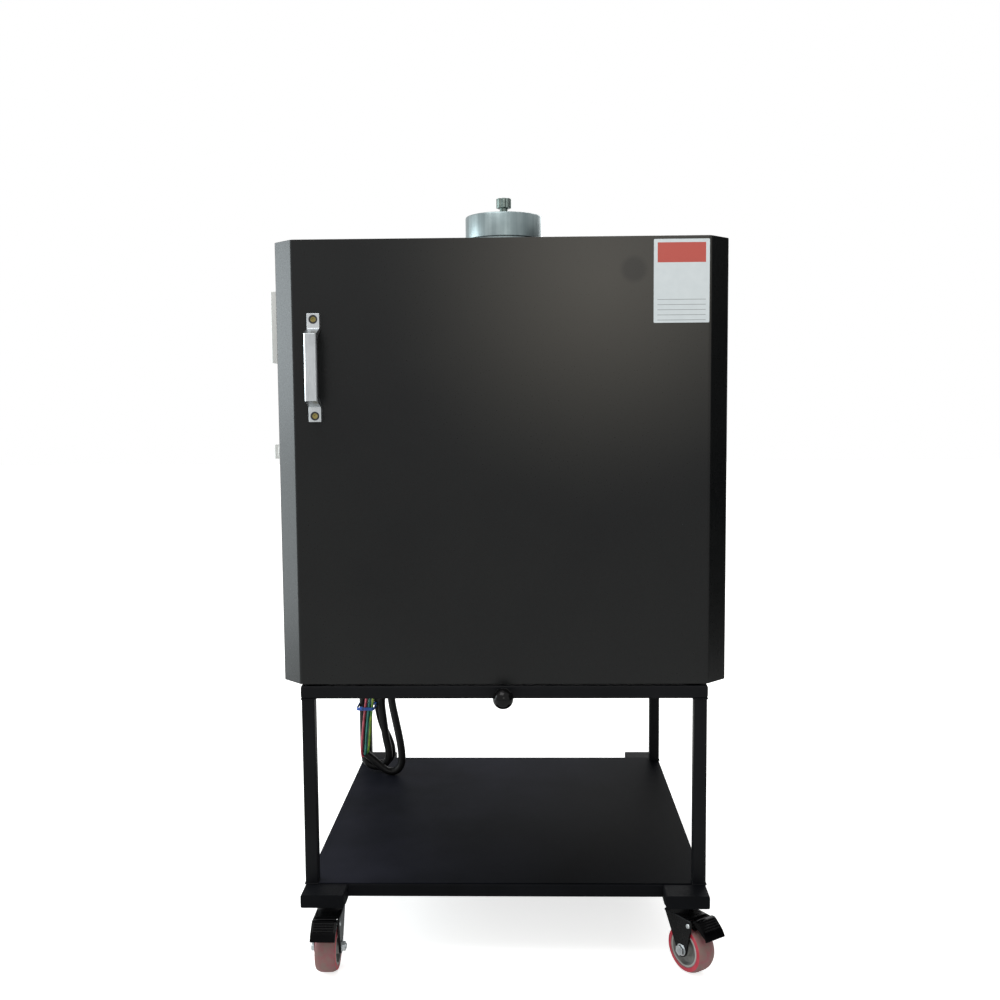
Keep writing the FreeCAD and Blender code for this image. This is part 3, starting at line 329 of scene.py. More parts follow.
# wound wire, oxidised by its first firings: dull warm grey
heatingWire = drawnMetal(
    "oxidised resistance wire", "#6e675e", "#a89d90", (1, 1, 1), markMm=2.0, cloudMm=30, gloss=(0.5, 0.7),
    depthMm=0.03)


def galvanisedSheet(name, crystalMm):
    # hot-dipped zinc: frozen crystals, each with its own grey and gloss
    material, tree, shader, place = newMaterial(name, Metallic=1.0)
    spangle = addNode(tree, "TexVoronoi", {"Scale": 1000 / crystalMm}, {"Vector": place})
    shade = addNode(tree, "SeparateColor", {}, {"Color": spangle.outputs["Color"]})
    tone = addNode(tree, "Mix", {6: "#a0a5a7", 7: "#b1b5b7"},
                   {0: shade.outputs["Red"]})
    rough = addNode(tree, "MapRange", {"To Min": 0.34, "To Max": 0.5}, {"Value": shade.outputs["Green"]})
    feedShader(shader, tone, rough)
    return material


def insulatingBrick(name, plane, courseMm):
    # light firebrick: burnt-out pores of 1 to 3 mm, darkened as painted shade, hairline joints between bricks
    # 230 mm long
    material, tree, shader, place = newMaterial(name, Specular_IOR_Level=0.1)
    axes = addNode(tree, "SeparateXYZ", {}, {"Vector": place})
    flat = addNode(tree, "CombineXYZ", {}, {"X": axes.outputs[plane[0]], "Y": axes.outputs[plane[1]]})
    wall = {"Scale": 1.0, "Brick Width": 0.230, "Row Height": courseMm / 1000, "Mortar Size": 0.0009,
            "Mortar Smooth": 0.3, "Color1": "#e4d6bd", "Color2": "#dccbae", "Mortar": "#9c8463"}
    courses = addNode(tree, "TexBrick", wall, {"Vector": flat})
    pores = addNode(tree, "TexVoronoi", {"Scale": 1000 / 3.2}, {"Vector": place})
    pit = addNode(tree, "MapRange", {"From Min": 0.12, "From Max": 0.3}, {"Value": pores})
    scorch = addNode(tree, "TexNoise", {"Scale": 1000 / 90, "Detail": 4.0}, {"Vector": place})
    warm = addNode(tree, "Mix", {"blend_type": "MULTIPLY", 7: "#efe0cb"},
                   {0: scorch, 6: courses})
    tone = addNode(tree, "Mix", {6: "#a98f6c"}, {0: pit, 7: warm.outputs[2]})
    relief = addNode(tree, "Bump", {"Strength": 0.8, "Distance": 0.0008}, {"Height": pit})
    shader.inputs["Roughness"].default_value = 0.95
    feedShader(shader, tone, relief=relief)
    return material


def dustyTread(name, dustMm):
    # cast polyurethane: red and slightly see-through at its edges, pink-brown floor dust where it rolls
    material, tree, shader, place = newMaterial(
        name, Subsurface_Weight=0.35, Subsurface_Scale=1.0, Subsurface_Radius=(0.004, 0.001, 0.0008),
        Specular_IOR_Level=0.45)
    dustAndShade = addNode(tree, "TexNoise", {"Scale": 1000 / dustMm, "Detail": 6.0, "Roughness": 0.65},
                   {"Vector": place})
    share = addNode(tree, "MapRange", {"From Min": 0.36, "From Max": 0.58}, {"Value": dustAndShade})
    tone = addNode(tree, "Mix", {6: "#854a50", 7: "#7c645f"}, {0: share})
    rough = addNode(tree, "MapRange", {"To Min": 0.4, "To Max": 0.75}, {"Value": share})
    relief = addNode(tree, "Bump", {"Strength": 0.5, "Distance": 0.0002}, {"Height": dustAndShade})
    feedShader(shader, tone, rough, relief)
    return material


def glassRope(name, waveMm):
    # braided glass: crossing diagonal plaits about 3 mm wide, which a wave six times as long draws, darker in
    # the hollows between them as painted shade
    material, tree, shader, place = newMaterial(name, Specular_IOR_Level=0.2)
    wave = {"Scale": 1000 / waveMm, "bands_direction": "DIAGONAL", "Distortion": 0.6}
    left = addNode(tree, "TexWave", wave, {"Vector": place})
    mirror = addNode(tree, "Mapping", {"Scale": (-1, 1, 1)}, {"Vector": place})
    right = addNode(tree, "TexWave", wave, {"Vector": mirror})
    plait = addNode(tree, "Math", {"operation": "MAXIMUM"}, {0: left.outputs["Fac"], 1: right.outputs["Fac"]})
    tone = addNode(tree, "Mix", {6: "#b3b0a7", 7: "#d6d3c9"}, {0: plait})
    relief = addNode(tree, "Bump", {"Strength": 0.8, "Distance": 0.0008}, {"Height": plait})
    shader.inputs["Roughness"].default_value = 0.85
    feedShader(shader, tone, relief=relief)
    return material


def vinylSticker(name, look):
    # white vinyl: a muted plain stripe inside its border and faint ruled lines at its foot
    material, tree, shader, place = newMaterial(name, Roughness=0.35)
    axes = addNode(tree, "SeparateXYZ", {}, {"Vector": place})
    x, z = axes.outputs["X"], axes.outputs["Z"]
    inside = addNode(tree, "Math", {"operation": "COMPARE", 1: look["middle"], 2: look["halfWidth"]}, {0: x})
    banded = addNode(tree, "Math", {"operation": "COMPARE", 1: look["stripeMiddle"], 2: look["stripeHalf"]},
                     {0: z})
    stripe = addNode(tree, "Math", {"operation": "MULTIPLY"}, {0: inside, 1: banded})
    line = addNode(tree, "Math", {"operation": "PINGPONG", 1: look["lineStep"] / 2}, {0: z})
    thin = addNode(tree, "Math", {"operation": "LESS_THAN", 1: look["lineHalf"]}, {0: line})
    low = addNode(tree, "Math", {"operation": "LESS_THAN", 1: look["linesBelow"]}, {0: z})
    field = addNode(tree, "Math", {"operation": "MULTIPLY"}, {0: thin, 1: low})
    ruled = addNode(tree, "Math", {"operation": "MULTIPLY"}, {0: field, 1: inside})
    speck = addNode(tree, "TexNoise", {"Scale": 1000 / look["speckMm"], "Detail": 4.0}, {"Vector": place})
    paper = addNode(tree, "Mix", {6: "#b9c1c4", 7: "#c6cdcf"}, {0: speck})
    lined = addNode(tree, "Mix", {7: "#8b9193"}, {0: ruled, 6: paper.outputs[2]})
    tone = addNode(tree, "Mix", {7: look["stripe"]},
                   {0: stripe, 6: lined.outputs[2]})
    feedShader(shader, tone)
    return material


def openCoat(material):
    # a finished coat's tree and shader, the place and its axes, and the colour that the coat has so far
    shader = material.node_tree.nodes["Principled BSDF"]
    place = addNode(material.node_tree, "TexCoord", {}, {}).outputs["Object"]
    axes = addNode(material.node_tree, "SeparateXYZ", {}, {"Vector": place})
    return material.node_tree, shader, place, axes, shader.inputs["Base Color"].links[0].from_socket


def paintTrayShade(material, look):
    # painted shade: the tray's coat darkens from its left rear towards the right and the front
    tree, shader, _, axes, coat = openCoat(material)
    slant = addNode(tree, "Math", {"operation": "MULTIPLY_ADD", 1: -look["slant"]},
                    {0: axes.outputs["Y"], 2: axes.outputs["X"]})
    # the mask of the painted shade, from full shade at one end of the slant to none at the other
    dustAndShade = addNode(tree, "MapRange", {"From Min": look["shadeFullAt"], "From Max": look["shadeStartsAt"]},
                   {"Value": slant})
    tone = addNode(tree, "Mix", {6: look["shadedTone"]}, {0: dustAndShade, 7: coat})
    feedShader(shader, tone)
    return material


def paintDoorHighlightAndSmudge(material, look):
    # the door's face gets a painted highlight around its upper right, standing in for a lamp's reflection, and
    # one round dull spot
    tree, shader, place, axes, coat = openCoat(material)
    away = addNode(tree, "VectorMath", {"operation": "DISTANCE", 1: look["spot"]}, {0: place})
    spot = addNode(tree, "MapRange", {"From Min": 0.014, "From Max": 0.022, "To Min": 0.55},
                   {"Value": away.outputs["Value"]})
    apart = addNode(tree, "VectorMath", {"operation": "DISTANCE", 1: look["highlightMiddle"]}, {0: place})
    warm = addNode(tree, "MapRange", {"interpolation_type": "SMOOTHSTEP", "From Min": look["highlightReach"],
                                      "From Max": -0.06}, {"Value": apart.outputs["Value"]})
    flat = addNode(tree, "Math", {"operation": "LESS_THAN", 1: look["faceBehind"]}, {0: axes.outputs["Y"]})
    highlightMask = addNode(tree, "Math", {"operation": "MULTIPLY"}, {0: warm, 1: flat})
    lit = addNode(tree, "Mix", {7: look["warm"]}, {0: highlightMask, 6: coat})
    tone = addNode(tree, "Mix", {6: look["dull"]}, {0: spot, 7: lit.outputs[2]})
    feedShader(shader, tone)
    return material


galvanised = galvanisedSheet("spangled galvanised sheet", crystalMm=9)
sideBrick = insulatingBrick("insulating brick, upright courses", "YZ", courseMm=76)
backBrick = insulatingBrick("insulating brick, across", "XZ", courseMm=76)
levelBrick = insulatingBrick("insulating brick, laid flat", "XY", courseMm=114)
treadRubber = dustyTread("dusty red polyurethane", dustMm=16)
# the tread's sides stay clean: full red, light goes into it
treadSide = paintedSkin(
    "clean red polyurethane", "#a62235", "#bb3246", cloudMm=14, grainMm=2.0, gloss=(0.3, 0.42),
    Subsurface_Weight=0.3)
gasketRope = glassRope("braided glass rope", waveMm=19)
# warm is the colour of the door's painted highlight; dull is the colour of the round smudge
doorPaint = paintDoorHighlightAndSmudge(
    paintedSkin("satin black powder coat, door", "#0d0e0f", "#131414", cloudMm=190, grainMm=2.2,
                gloss=(0.27, 0.34), depthMm=0.012, shine=0.22),
    {"warm": "#3f3d38", "highlightMiddle": (0.165, -0.310, 1.05), "highlightReach": 0.36, "faceBehind": -0.3085,
     "dull": "#191919", "spot": (0.207, -0.310, 1.065)})
# a fine-textured coat: bluish graphite, nearly no shine
# this coat is darkened towards the right and the front as painted shade
trayCoat = paintTrayShade(
    paintedSkin("textured graphite powder coat", "#14161b", "#23242c", cloudMm=170, grainMm=1.2,
                gloss=(0.45, 0.6), depthMm=0.015, shine=0.012),
    {"shadedTone": "#030406", "slant": 0.5, "shadeFullAt": 0.24, "shadeStartsAt": -0.16})
stickerVinyl = vinylSticker("white vinyl sticker", {
    "middle": 0.277, "halfWidth": 0.0355, "stripeMiddle": 1.0885, "stripeHalf": 0.0145, "stripe": "#a83a2d",
    "lineStep": 0.0075, "lineHalf": 0.0005, "linesBelow": 1.021, "speckMm": 12})

# the frame's slot that each finish fills
slots = {
    "black_powder_coat": [blackCoat, standCoat, beamCoat, doorPaint], "graphite_powder_coat": [trayCoat],
    "grey_powder_coat": [greyCoat], "black_zinc": [blackZinc, pedalCoat],
    "bright_zinc": [brightZinc, yellowZinc], "galvanised_sheet": [galvanised],
    "stainless_steel": [stainless, turnedSteel], "aluminium": [aluminium],
    "heating_wire": [heatingWire], "fire_brick": [sideBrick, backBrick, levelBrick, fibreBoard],
    "steatite": [steatite], "glass_rope": [gasketRope], "red_polyurethane": [treadRubber],
    "grey_plastic": [greyPlastic, hubNylon, rimNylon, stickerVinyl], "black_plastic": [blackNylon],
    "black_phenolic": [phenolic], "blue_nylon": [blueNylon], "screen_glass": [screenGlass],
    "cable_sheath": [sheath], "red_insulation": [redCore], "teal_insulation": [tealCore],
    "green_insulation": [greenCore]}
slotOf = {finish.name: slot for slot, finishes in slots.items() for finish in finishes}
print("materials ready")


# camera, light and floor

view = {"place": (0.0463, -1.9647, 0.8641), "lens": 39.79, "sensor": 36, "yaw": 1.361, "dip": 4.821,
        "lean": 0.427}
cameraData = bpy.data.cameras.new("camera")
cameraData.lens = view["lens"]
cameraData.sensor_width = view["sensor"]
cameraData.clip_end = 50
camera = newObject("camera", cameraData)
camera.matrix_world = (Matrix.Translation(view["place"]) @ Matrix.Rotation(math.radians(view["yaw"]), 4, "Z")
                       @ Matrix.Rotation(math.radians(90 - view["dip"]), 4, "X")
                       @ Matrix.Rotation(math.radians(-view["lean"]), 4, "Z"))
bpy.context.scene.camera = camera
bpy.context.scene.view_settings.view_transform = "Standard"


def softbox(name, place, aim, size, power, tint=(1, 1, 1)):
    lamp = bpy.data.lights.new(name, "AREA")
    lamp.shape = "RECTANGLE"
    lamp.size, lamp.size_y = size
    lamp.energy = power
    lamp.color = tint
    obj = newObject(name, lamp)
    obj.location = place
    obj.rotation_euler = (Vector(aim) - Vector(place)).to_track_quat("-Z", "Y").to_euler()


# the two at the left draw the pale left fold, the front one the soft glow on the door
softbox("left softbox", (-2.3, 0.15, 1.2), (-0.3, -0.25, 1.12), (1.3, 0.76), 23, (0.86, 0.96, 1.0))
softbox("left low softbox", (-2.3, 0.15, 0.44), (-0.3, -0.25, 0.4), (1.3, 0.74), 12.5, (0.88, 0.97, 1.0))
softbox("front softbox", (0.5, -3.4, 1.75), (0.15, -0.31, 1.05), (1.1, 0.8), 9, (1.0, 0.97, 0.92))
softbox("top softbox", (-0.5, -1.1, 2.9), (0, 0, 0.7), (1.8, 1.4), 34)
softbox("rear softbox", (0.9, 2.6, 2.0), (0, 0.3, 0.6), (1.6, 1.2), 30)

# white to the eye and in reflections, dimmer as a light
studio = {"seen": 1.0, "light": 0.7}
world = bpy.data.worlds.new("studio")
bpy.context.scene.world = world
world.use_nodes = True
sky = world.node_tree
sky.nodes.clear()
rays = addNode(sky, "LightPath", {}, {}).outputs
seen = addNode(sky, "Math", {"operation": "MAXIMUM"}, {0: rays["Is Camera Ray"], 1: rays["Is Glossy Ray"]})
through = addNode(sky, "Math", {"operation": "MAXIMUM"}, {0: seen, 1: rays["Is Transmission Ray"]})
level = addNode(sky, "MapRange", {"To Min": studio["light"], "To Max": studio["seen"]}, {"Value": through})
glow = addNode(sky, "Background", {"Color": (1, 1, 1, 1)}, {"Strength": level})
addNode(sky, "OutputWorld", {}, {"Surface": glow})


def stagePlane(name, size, matrix, material):
    bm = bmesh.new()
    place = matrix @ Matrix.Diagonal((*size, 1, 1))
    bmesh.ops.create_grid(bm, x_segments=1, y_segments=1, size=0.5, matrix=place)
    mesh = bpy.data.meshes.new(name)
    bm.to_mesh(mesh)
    bm.free()
    obj = newObject(name, mesh)
    mesh.materials.append(material)
    return obj


# pale studio floor: matt, near white, lifted to the white of the background but keeping the kiln's shadow
floor = {"size": 30, "below": 0.0005, "tone": "#f4f4f2", "lift": 0.7}
floorPaint, floorTree, floorShader, _ = newMaterial("matt studio floor", Roughness=0.9, Specular_IOR_Level=0.1)
floorShader.inputs["Base Color"].default_value = hexColour(floor["tone"])
floorRays = addNode(floorTree, "LightPath", {}, {}).outputs
lift = addNode(floorTree, "Math", {"operation": "MULTIPLY", 1: floor["lift"]}, {0: floorRays["Is Camera Ray"]})
whiter = addNode(floorTree, "Emission", {"Color": (1, 1, 1, 1)}, {"Strength": lift})
both = addNode(floorTree, "AddShader", {}, {0: floorShader, 1: whiter})
floorTree.links.new(both.outputs[0], floorTree.nodes["Material Output"].inputs["Surface"])
stagePlane("floor", (floor["size"], floor["size"]), Matrix.Translation((0, 0, -floor["below"])), floorPaint)

# a black flag at the right keeps the light off the door's right fold
flagCloth, _, flagShader, _ = newMaterial("black flag cloth", Roughness=1.0, Specular_IOR_Level=0.0)
flagShader.inputs["Base Color"].default_value = (0.0, 0.0, 0.0, 1)
upright = Matrix.Rotation(math.radians(90), 4, "Y") @ Matrix.Rotation(math.radians(90), 4, "Z")
flag = stagePlane("flag", (2.2, 1.6), Matrix.Translation((1.9, 0.3, 0.85)) @ upright, flagCloth)
flag.visible_camera = False
flag.visible_shadow = False
print("camera and light set")


# supply cable: first, because its place decides what else fits

def strand(name, points, diameter, material, stands, length):
    curve = bpy.data.curves.new(name, "CURVE")
    curve.dimensions = "3D"
    curve.bevel_depth = diameter / 2000
    curve.bevel_resolution = 5
    curve.use_fill_caps = True
    spline = curve.splines.new("NURBS")
    spline.points.add(len(points) - 1)
    for spot, (x, y, z) in zip(spline.points, points):
        spot.co = (x / 1000 + middlePlane, y / 1000, z / 1000, 1)
    spline.order_u = 3
    spline.use_endpoint_u = True
    spline.resolution_u = 8
    obj = newObject(name, curve)
    curve.materials.append(material)
    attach(obj, root)
    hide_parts(*stands)
    x, y, z = points[0]


cable = {"diameter": 15.0, "length": 1.42, "coreDiameter": 4.8}
# down from the gland, twice round as a hanging hank, then up a little to the stripped end
cableRoute = [
    (-232, 233, 418), (-233, 233, 398), (-246, 233, 366), (-264, 233, 326), (-270, 233, 276),
    (-260, 233, 222), (-245, 233, 192), (-238.5, 233, 167), (-244, 233, 150), (-258, 233, 140),
    (-276, 233, 140), (-290, 233, 150), (-294.5, 233, 167), (-294.5, 233, 210), (-294.5, 233, 260),
    (-294.5, 232, 310), (-294, 230, 338), (-289, 227, 360), (-275, 223, 374), (-257, 219, 374),
    (-243, 216, 361), (-240, 215, 338), (-250, 215, 308), (-259, 215, 278), (-254, 215, 235),
    (-249.5, 215, 198), (-243, 215, 172), (-246, 215, 151), (-259, 215, 140), (-277, 215, 140),
    (-290, 215, 150), (-294.5, 215, 168), (-294.5, 215, 210), (-294.5, 215, 270), (-294.5, 214, 320),
    (-292, 211, 349), (-280, 207, 370), (-262, 203, 374), (-245, 199, 361), (-238, 197, 336),
    (-236, 197, 305), (-235, 197, 280), (-227, 197, 240), (-219, 197, 200), (-215.5, 197, 172),
    (-216, 197, 150), (-227, 197, 136), (-243, 197, 135.5), (-257, 197, 145), (-270, 197, 157),
    (-282, 197, 168), (-291, 196.5, 175)]
cores = {
    "core_red": (redCore, 0.19, [
        (-293, 193.5, 168), (-296, 188, 172), (-293, 184.8, 205), (-288.5, 185.2, 250), (-282, 185.6, 300),
        (-275.5, 186, 350)]),
    "core_blue": (tealCore, 0.19, [
        (-290, 193.5, 171), (-287.5, 188, 174), (-285.5, 184.8, 205), (-281.5, 185, 250), (-275, 185.4, 300),
        (-267.5, 185.8, 352)]),
    "core_green": (greenCore, 0.18, [
        (-286, 193.5, 174), (-281, 188, 181), (-278, 184.9, 212), (-274.8, 185.1, 255), (-268, 185.5, 303),
        (-260, 186, 356)])}
strand("supply_cable_sheath", cableRoute, cable["diameter"], sheath, ["supply_cable", "cable_hank"],
       cable["length"])
for name, (material, length, route) in cores.items():
    strand(name + "_insulated", route, cable["coreDiameter"], material, [name], length)
print("cable laid")


# cable fittings

gland = {"x": -232, "y": 233, "nutLow": 426, "nutHigh": 440, "across": 26}
bm = bmesh.new()
nutGap = gland["nutLow"] + 0.3
addLathe(bm, [(7.6, nutGap), (7.6, 419.2), (8.0, 418), (9.6, 418), (10.3, 419.4), (10.9, 421.5), (10.9, 423.5),
              (10.3, 424.4), (10.9, 425.2), (10.9, nutGap)], (gland["x"], gland["y"], 0), (0, 0, 1), sides=40)
piece("cable_gland_cap", bm, blackNylon, stands=["cable_gland"])
bm = bmesh.new()
addRod(bm, (gland["x"], gland["y"], gland["nutLow"]), (gland["x"], gland["y"], gland["nutHigh"]),
       gland["across"] / math.sqrt(3), sides=6)
piece("cable_gland_nut", bm, blackNylon, stands=["cable_gland"], rounding=1.2, segments=3)

tie = {"x": (-303.4, -268), "y": (181.2, 224.2), "z": (264.5, 270.5), "thick": 1.3, "bend": 6,
       "lock": ((-297, -290.5), (179.6, 184), (264.6, 272))}
bm = bmesh.new()
addBox(bm, tie["x"], tie["y"], tie["z"])
bmesh.ops.delete(bm, geom=[f for f in bm.faces if abs(f.normal.z) > 0.9], context="FACES_ONLY")
roundEdges(bm, lambda mid, run: abs(run.z) > 0.9, tie["bend"], 5)
piece("cable_tie_band", bm, blueNylon, stands=["cable_tie"], rounding=0.3, wall=tie["thick"], angle=50)
bm = bmesh.new()
addBox(bm, *tie["lock"])
piece("cable_tie_lock", bm, blueNylon, stands=["cable_tie"], rounding=0.8)

ferrule = {"radius": 1.5, "below": 6, "above": 7,
           "ends": [(-275.5, 186, 349), (-267.5, 185.8, 351), (-260, 186, 355)]}
bm = bmesh.new()
for x, y, z in ferrule["ends"]:
    addRod(bm, (x, y, z - ferrule["below"]), (x + 0.3, y, z + ferrule["above"]), ferrule["radius"], sides=16)
piece("core_ferrules", bm, brightZinc, rounding=0.3)
print("cable fittings made")


# stand

dressNode("stand_top_rails", "stand_top_frame", standCoat, rounding=0.4)
dressNode("stand_corner_posts", "stand_posts", standCoat, rounding=0.4)
dressNode("stand_base_beams", "stand_base", beamCoat)
dressNode("stand_shelf", "shelf_tray", trayCoat)

weld = {"outer": 310, "inner": 290, "levels": (127.6, 419.6), "pools": 9, "radius": 1.7}
bm = bmesh.new()
for sx, sy, z in product((-1, 1), (-1, 1), weld["levels"]):
    x0, x1 = sorted((sx * weld["inner"], sx * weld["outer"]))
    y0, y1 = sorted((sy * weld["inner"], sy * weld["outer"]))
    corners = [Vector((x0, y0, z)), Vector((x1, y0, z)), Vector((x1, y1, z)), Vector((x0, y1, z))]
    for a, b in zip(corners, corners[1:] + corners[:1]):
        for i in range(weld["pools"]):  # weld pools that overlap along each side
            spot = Matrix.Translation(a.lerp(b, (i + 0.5) / weld["pools"])) @ Matrix.Diagonal((1, 1, 0.8, 1))
            bmesh.ops.create_icosphere(bm, subdivisions=1, radius=weld["radius"], matrix=spot)
piece("stand_weld_beads", bm, standCoat, angle=80)

plug = {"side": 310, "in": 6, "out": 1.4, "y": 300, "half": 7.8, "z": (422.2, 437.8)}
bm = bmesh.new()
for sx, y in product((-1, 1), (-plug["y"], plug["y"])):
    x = sorted((sx * (plug["side"] - plug["in"]), sx * (plug["side"] + plug["out"])))
    addBox(bm, x, (y - plug["half"], y + plug["half"]), plug["z"])
piece("stand_rail_plugs", bm, blackNylon, rounding=1.0, segments=3)
print("stand made")


# casters: each is drawn with its kingpin on the z axis, then turned and put in its corner

caster = {"x": 272, "y": 306, "trail": 24, "wheel": 37.5, "gap": 35.2, "leg": 3, "pivotOut": 38, "pivotUp": 80,
          "turns": {"front_left": 0, "front_right": 35, "rear_left": 190, "rear_right": 165}}
plateBolt = {"apart": 20, "insideX": 310, "insideY": 349, "head": 5.2, "shank": 2.9,
             "levels": (99.6, 102, 104.6)}
axle = {"nut": 8.0, "nutHigh": 5.4, "washer": 9.2, "washerHigh": 0.9, "thread": 4.2, "threadOut": 7.2,
        "sleeve": 6.0, "sleeveHalf": 17.6, "pin": 2.5, "rivet": (4.0, 3.0, 1.6)}
tread = {"inner": 28, "clean": 0.75}  # clean: how squarely a face looks sideways to stay free of dust
pedal = {"plate": 3.0, "wide": 19, "bend": 5, "rib": 1.1, "ribHalf": 15.5, "ribs": 5, "sleeve": 5.0, "web": 17}


def casterPlates():
    bm = bmesh.new()
    apart = (-plateBolt["apart"], plateBolt["apart"])
    low, head, high = plateBolt["levels"]
    for sx, sy, dx, dy in product((-1, 1), (-1, 1), apart, apart):
        x, y = sx * caster["x"] + dx, sy * caster["y"] + dy
        if abs(x) < plateBolt["insideX"] and abs(y) < plateBolt["insideY"]:
            addRod(bm, (x, y, head - 0.2), (x, y, high), plateBolt["head"], sides=6)
            addRod(bm, (x, y, low), (x, y, head), plateBolt["shank"], sides=14)
    piece("caster_plate_bolts", bm, brightZinc, rounding=0.4)
    dressNode("caster_plates_pressed", "caster_plates", blackZinc)


def casterFork(spot, place):
    body, node = "caster_" + spot, "caster_fork_" + spot
    dressNode("fork_pressing_" + spot, node, blackZinc, body, rounding=0.6, segments=3,
              keep=lambda low, high: high.z - low.z > 60)
    outer = caster["gap"] / 2 + caster["leg"]
    bm = bmesh.new()

    def across(first, last, radius, sides, at=(-caster["trail"], caster["wheel"]), tip=None):
        addRod(bm, (first, *at), (last, *at), radius, sides=sides, tip=tip)

    across(-outer - axle["nutHigh"], -outer, axle["nut"], 6)
    across(outer, outer + axle["nutHigh"], axle["nut"], 6)
    for side in (-1, 1):
        across(side * outer, side * (outer + axle["washerHigh"]), axle["washer"], 32)
    across(-outer, outer + axle["threadOut"], axle["thread"], 24)
    across(-axle["sleeveHalf"], axle["sleeveHalf"], axle["sleeve"], 24)
    pivot = (-caster["pivotOut"], caster["pivotUp"])
    across(-outer - 1, outer + 1, axle["pin"], 32, pivot)
    wide, tip, high = axle["rivet"]
    for side in (-1, 1):
        across(side * outer, side * (outer + high), wide, 32, pivot, tip)
    piece("axle_and_rivet_" + spot, bm, brightZinc, body, stands=[node], rounding=0.5, place=place)


def casterWheel(spot, place):
    body, node = "wheel_" + spot, "caster_wheel_" + spot

    def turned(name, profiles, material, sides):
        bm = bmesh.new()
        for profile in profiles:
            addLathe(bm, profile, (0, -caster["trail"], caster["wheel"]), (1, 0, 0), sides=sides)
        return piece(name + spot, bm, material, body, stands=[node], place=place, angle=50)

    side = [(6.1, 17.2), (10.6, 17.2), (11, 16.6), (12.4, 9.2), (13, 8.2), (22.2, 8.2), (23, 8.8), (24, 13.6),
            (25, 15), (26.2, 15.4), (27.4, 15.3), (28, 14.8)]
    turned("wheel_core_", [side + [(r, -h) for r, h in reversed(side)]], hubNylon, 96)
    crown = [(tread["inner"], 15.9), (33.2, 15.9), (34.1, 15.5), (35.4, 13.4), (36.6, 10.8), (37.2, 8.4),
             (37.5, 5.2)]
    tyre = turned("wheel_tread_", [crown + [(r, -h) for r, h in reversed(crown)]], treadRubber, 120)
    tyre.data.materials.append(treadSide)
    for f in tyre.data.polygons:  # the sides stay clean, the rolling face is dusty
        f.material_index = 1 if abs((place.inverted().to_3x3() @ f.normal).x) > tread["clean"] else 0
    rings = [[(24.4, sign * 15.2), (24.8, sign * 15.9), (27.0, sign * 15.9), (27.6, sign * 15.2)]
             for sign in (-1, 1)]
    turned("wheel_rim_ring_", rings, rimNylon, 96)


def brakePedal(spot, place):
    body, node = "pedal_" + spot, "brake_pedal_" + spot
    y, z = -caster["pivotOut"], caster["pivotUp"]
    wide, web = pedal["wide"], pedal["web"]
    path = [(y - 8.5, z + 10), (y - 16, z + 13.3), (y - 34, z - 1.7), (y - 39, z - 11)]
    bm = bmesh.new()
    line = [bm.verts.new((-wide, a, b)) for a, b in path]
    made = bmesh.ops.extrude_edge_only(bm, edges=[bm.edges.new(pair) for pair in zip(line, line[1:])])["geom"]
    bmesh.ops.translate(bm, vec=(2 * wide, 0, 0), verts=[v for v in made if isinstance(v, bmesh.types.BMVert)])
    roundEdges(bm, lambda mid, run: abs(run.x) > 0.99 and path[0][0] - 1 > mid.y > path[3][0] + 1,
               pedal["bend"], 4)
    bmesh.ops.recalc_face_normals(bm, faces=bm.faces)
    if sum(f.normal.z for f in bm.faces) < 0:
        bmesh.ops.reverse_faces(bm, faces=bm.faces)
    piece("pedal_plate_" + spot, bm, pedalCoat, body, stands=[node], rounding=0.7,
          wall=pedal["plate"], place=place, segments=3, angle=50)
    bm = bmesh.new()
    top, foot = Vector((0, *path[1])), Vector((0, *path[2]))
    for i in range(pedal["ribs"]):  # grip ribs pressed across the slope
        a = top.lerp(foot, (i + 1) / (pedal["ribs"] + 1))
        addRod(bm, (-pedal["ribHalf"], a.y, a.z + 0.3), (pedal["ribHalf"], a.y, a.z + 0.3), pedal["rib"],
               sides=14)
    addRod(bm, (-web, y, z), (web, y, z), pedal["sleeve"], sides=36)
    arm = [(y + 1.3, z + 1), (y - 7.4, z + 10.9), (y - 9.6, z + 9), (y - 1.3, z - 1)]
    addPrism(bm, [(-web, a, b) for a, b in arm], (2 * web, 0, 0))
    cheek = [(y - 9, z + 9.5), (y - 16, z + 10.8), (y - 33, z - 3.5), (y - 36.5, z - 9.5), (y - 30, z - 6),
             (y - 14, z + 4)]
    for x in (-18.6, 15.6):  # turned-down sides of the plate
        addPrism(bm, [(x, a, b) for a, b in cheek], (3, 0, 0))
    shoe = [(y - 0.5, z), (y - 5, z), (y - 8, z - 7.1), (y - 4, z - 7.1)]
    addPrism(bm, [(-14, a, b) for a, b in shoe], (28, 0, 0))
    piece("pedal_grip_and_shoe_" + spot, bm, pedalCoat, body, stands=[node], rounding=0.5, place=place)


casterPlates()
for spot, turn in caster["turns"].items():
    x = -caster["x"] if "left" in spot else caster["x"]
    y = -caster["y"] if "front" in spot else caster["y"]
    place = Matrix.Translation((x, y, 0)) @ Matrix.Rotation(math.radians(turn), 4, "Z")
    casterFork(spot, place)
    casterWheel(spot, place)
    brakePedal(spot, place)
print("casters made")


# casing

for side, panel in {"sides": "side_panels", "top": "top_panel", "floor": "floor_panel",
                    "rear": "rear_panel"}.items():
    dressNode("casing_" + side, "casing_" + panel, blackCoat)
dressNode("casing_mouth_frame", "mouth_frame", galvanised)
dressNode("rear_terminal_cover", "terminal_cover", blackCoat, rounding=0.6)

bm = bmesh.new()
for z in ((441.6, 452), (1101, 1111.4)):  # folded strips behind the rear panel's top and bottom edges
    addBox(bm, (-290.2, 290.2), (309.4, 310.9), z)
piece("rear_panel_strips", bm, blackCoat, rounding=0.3)

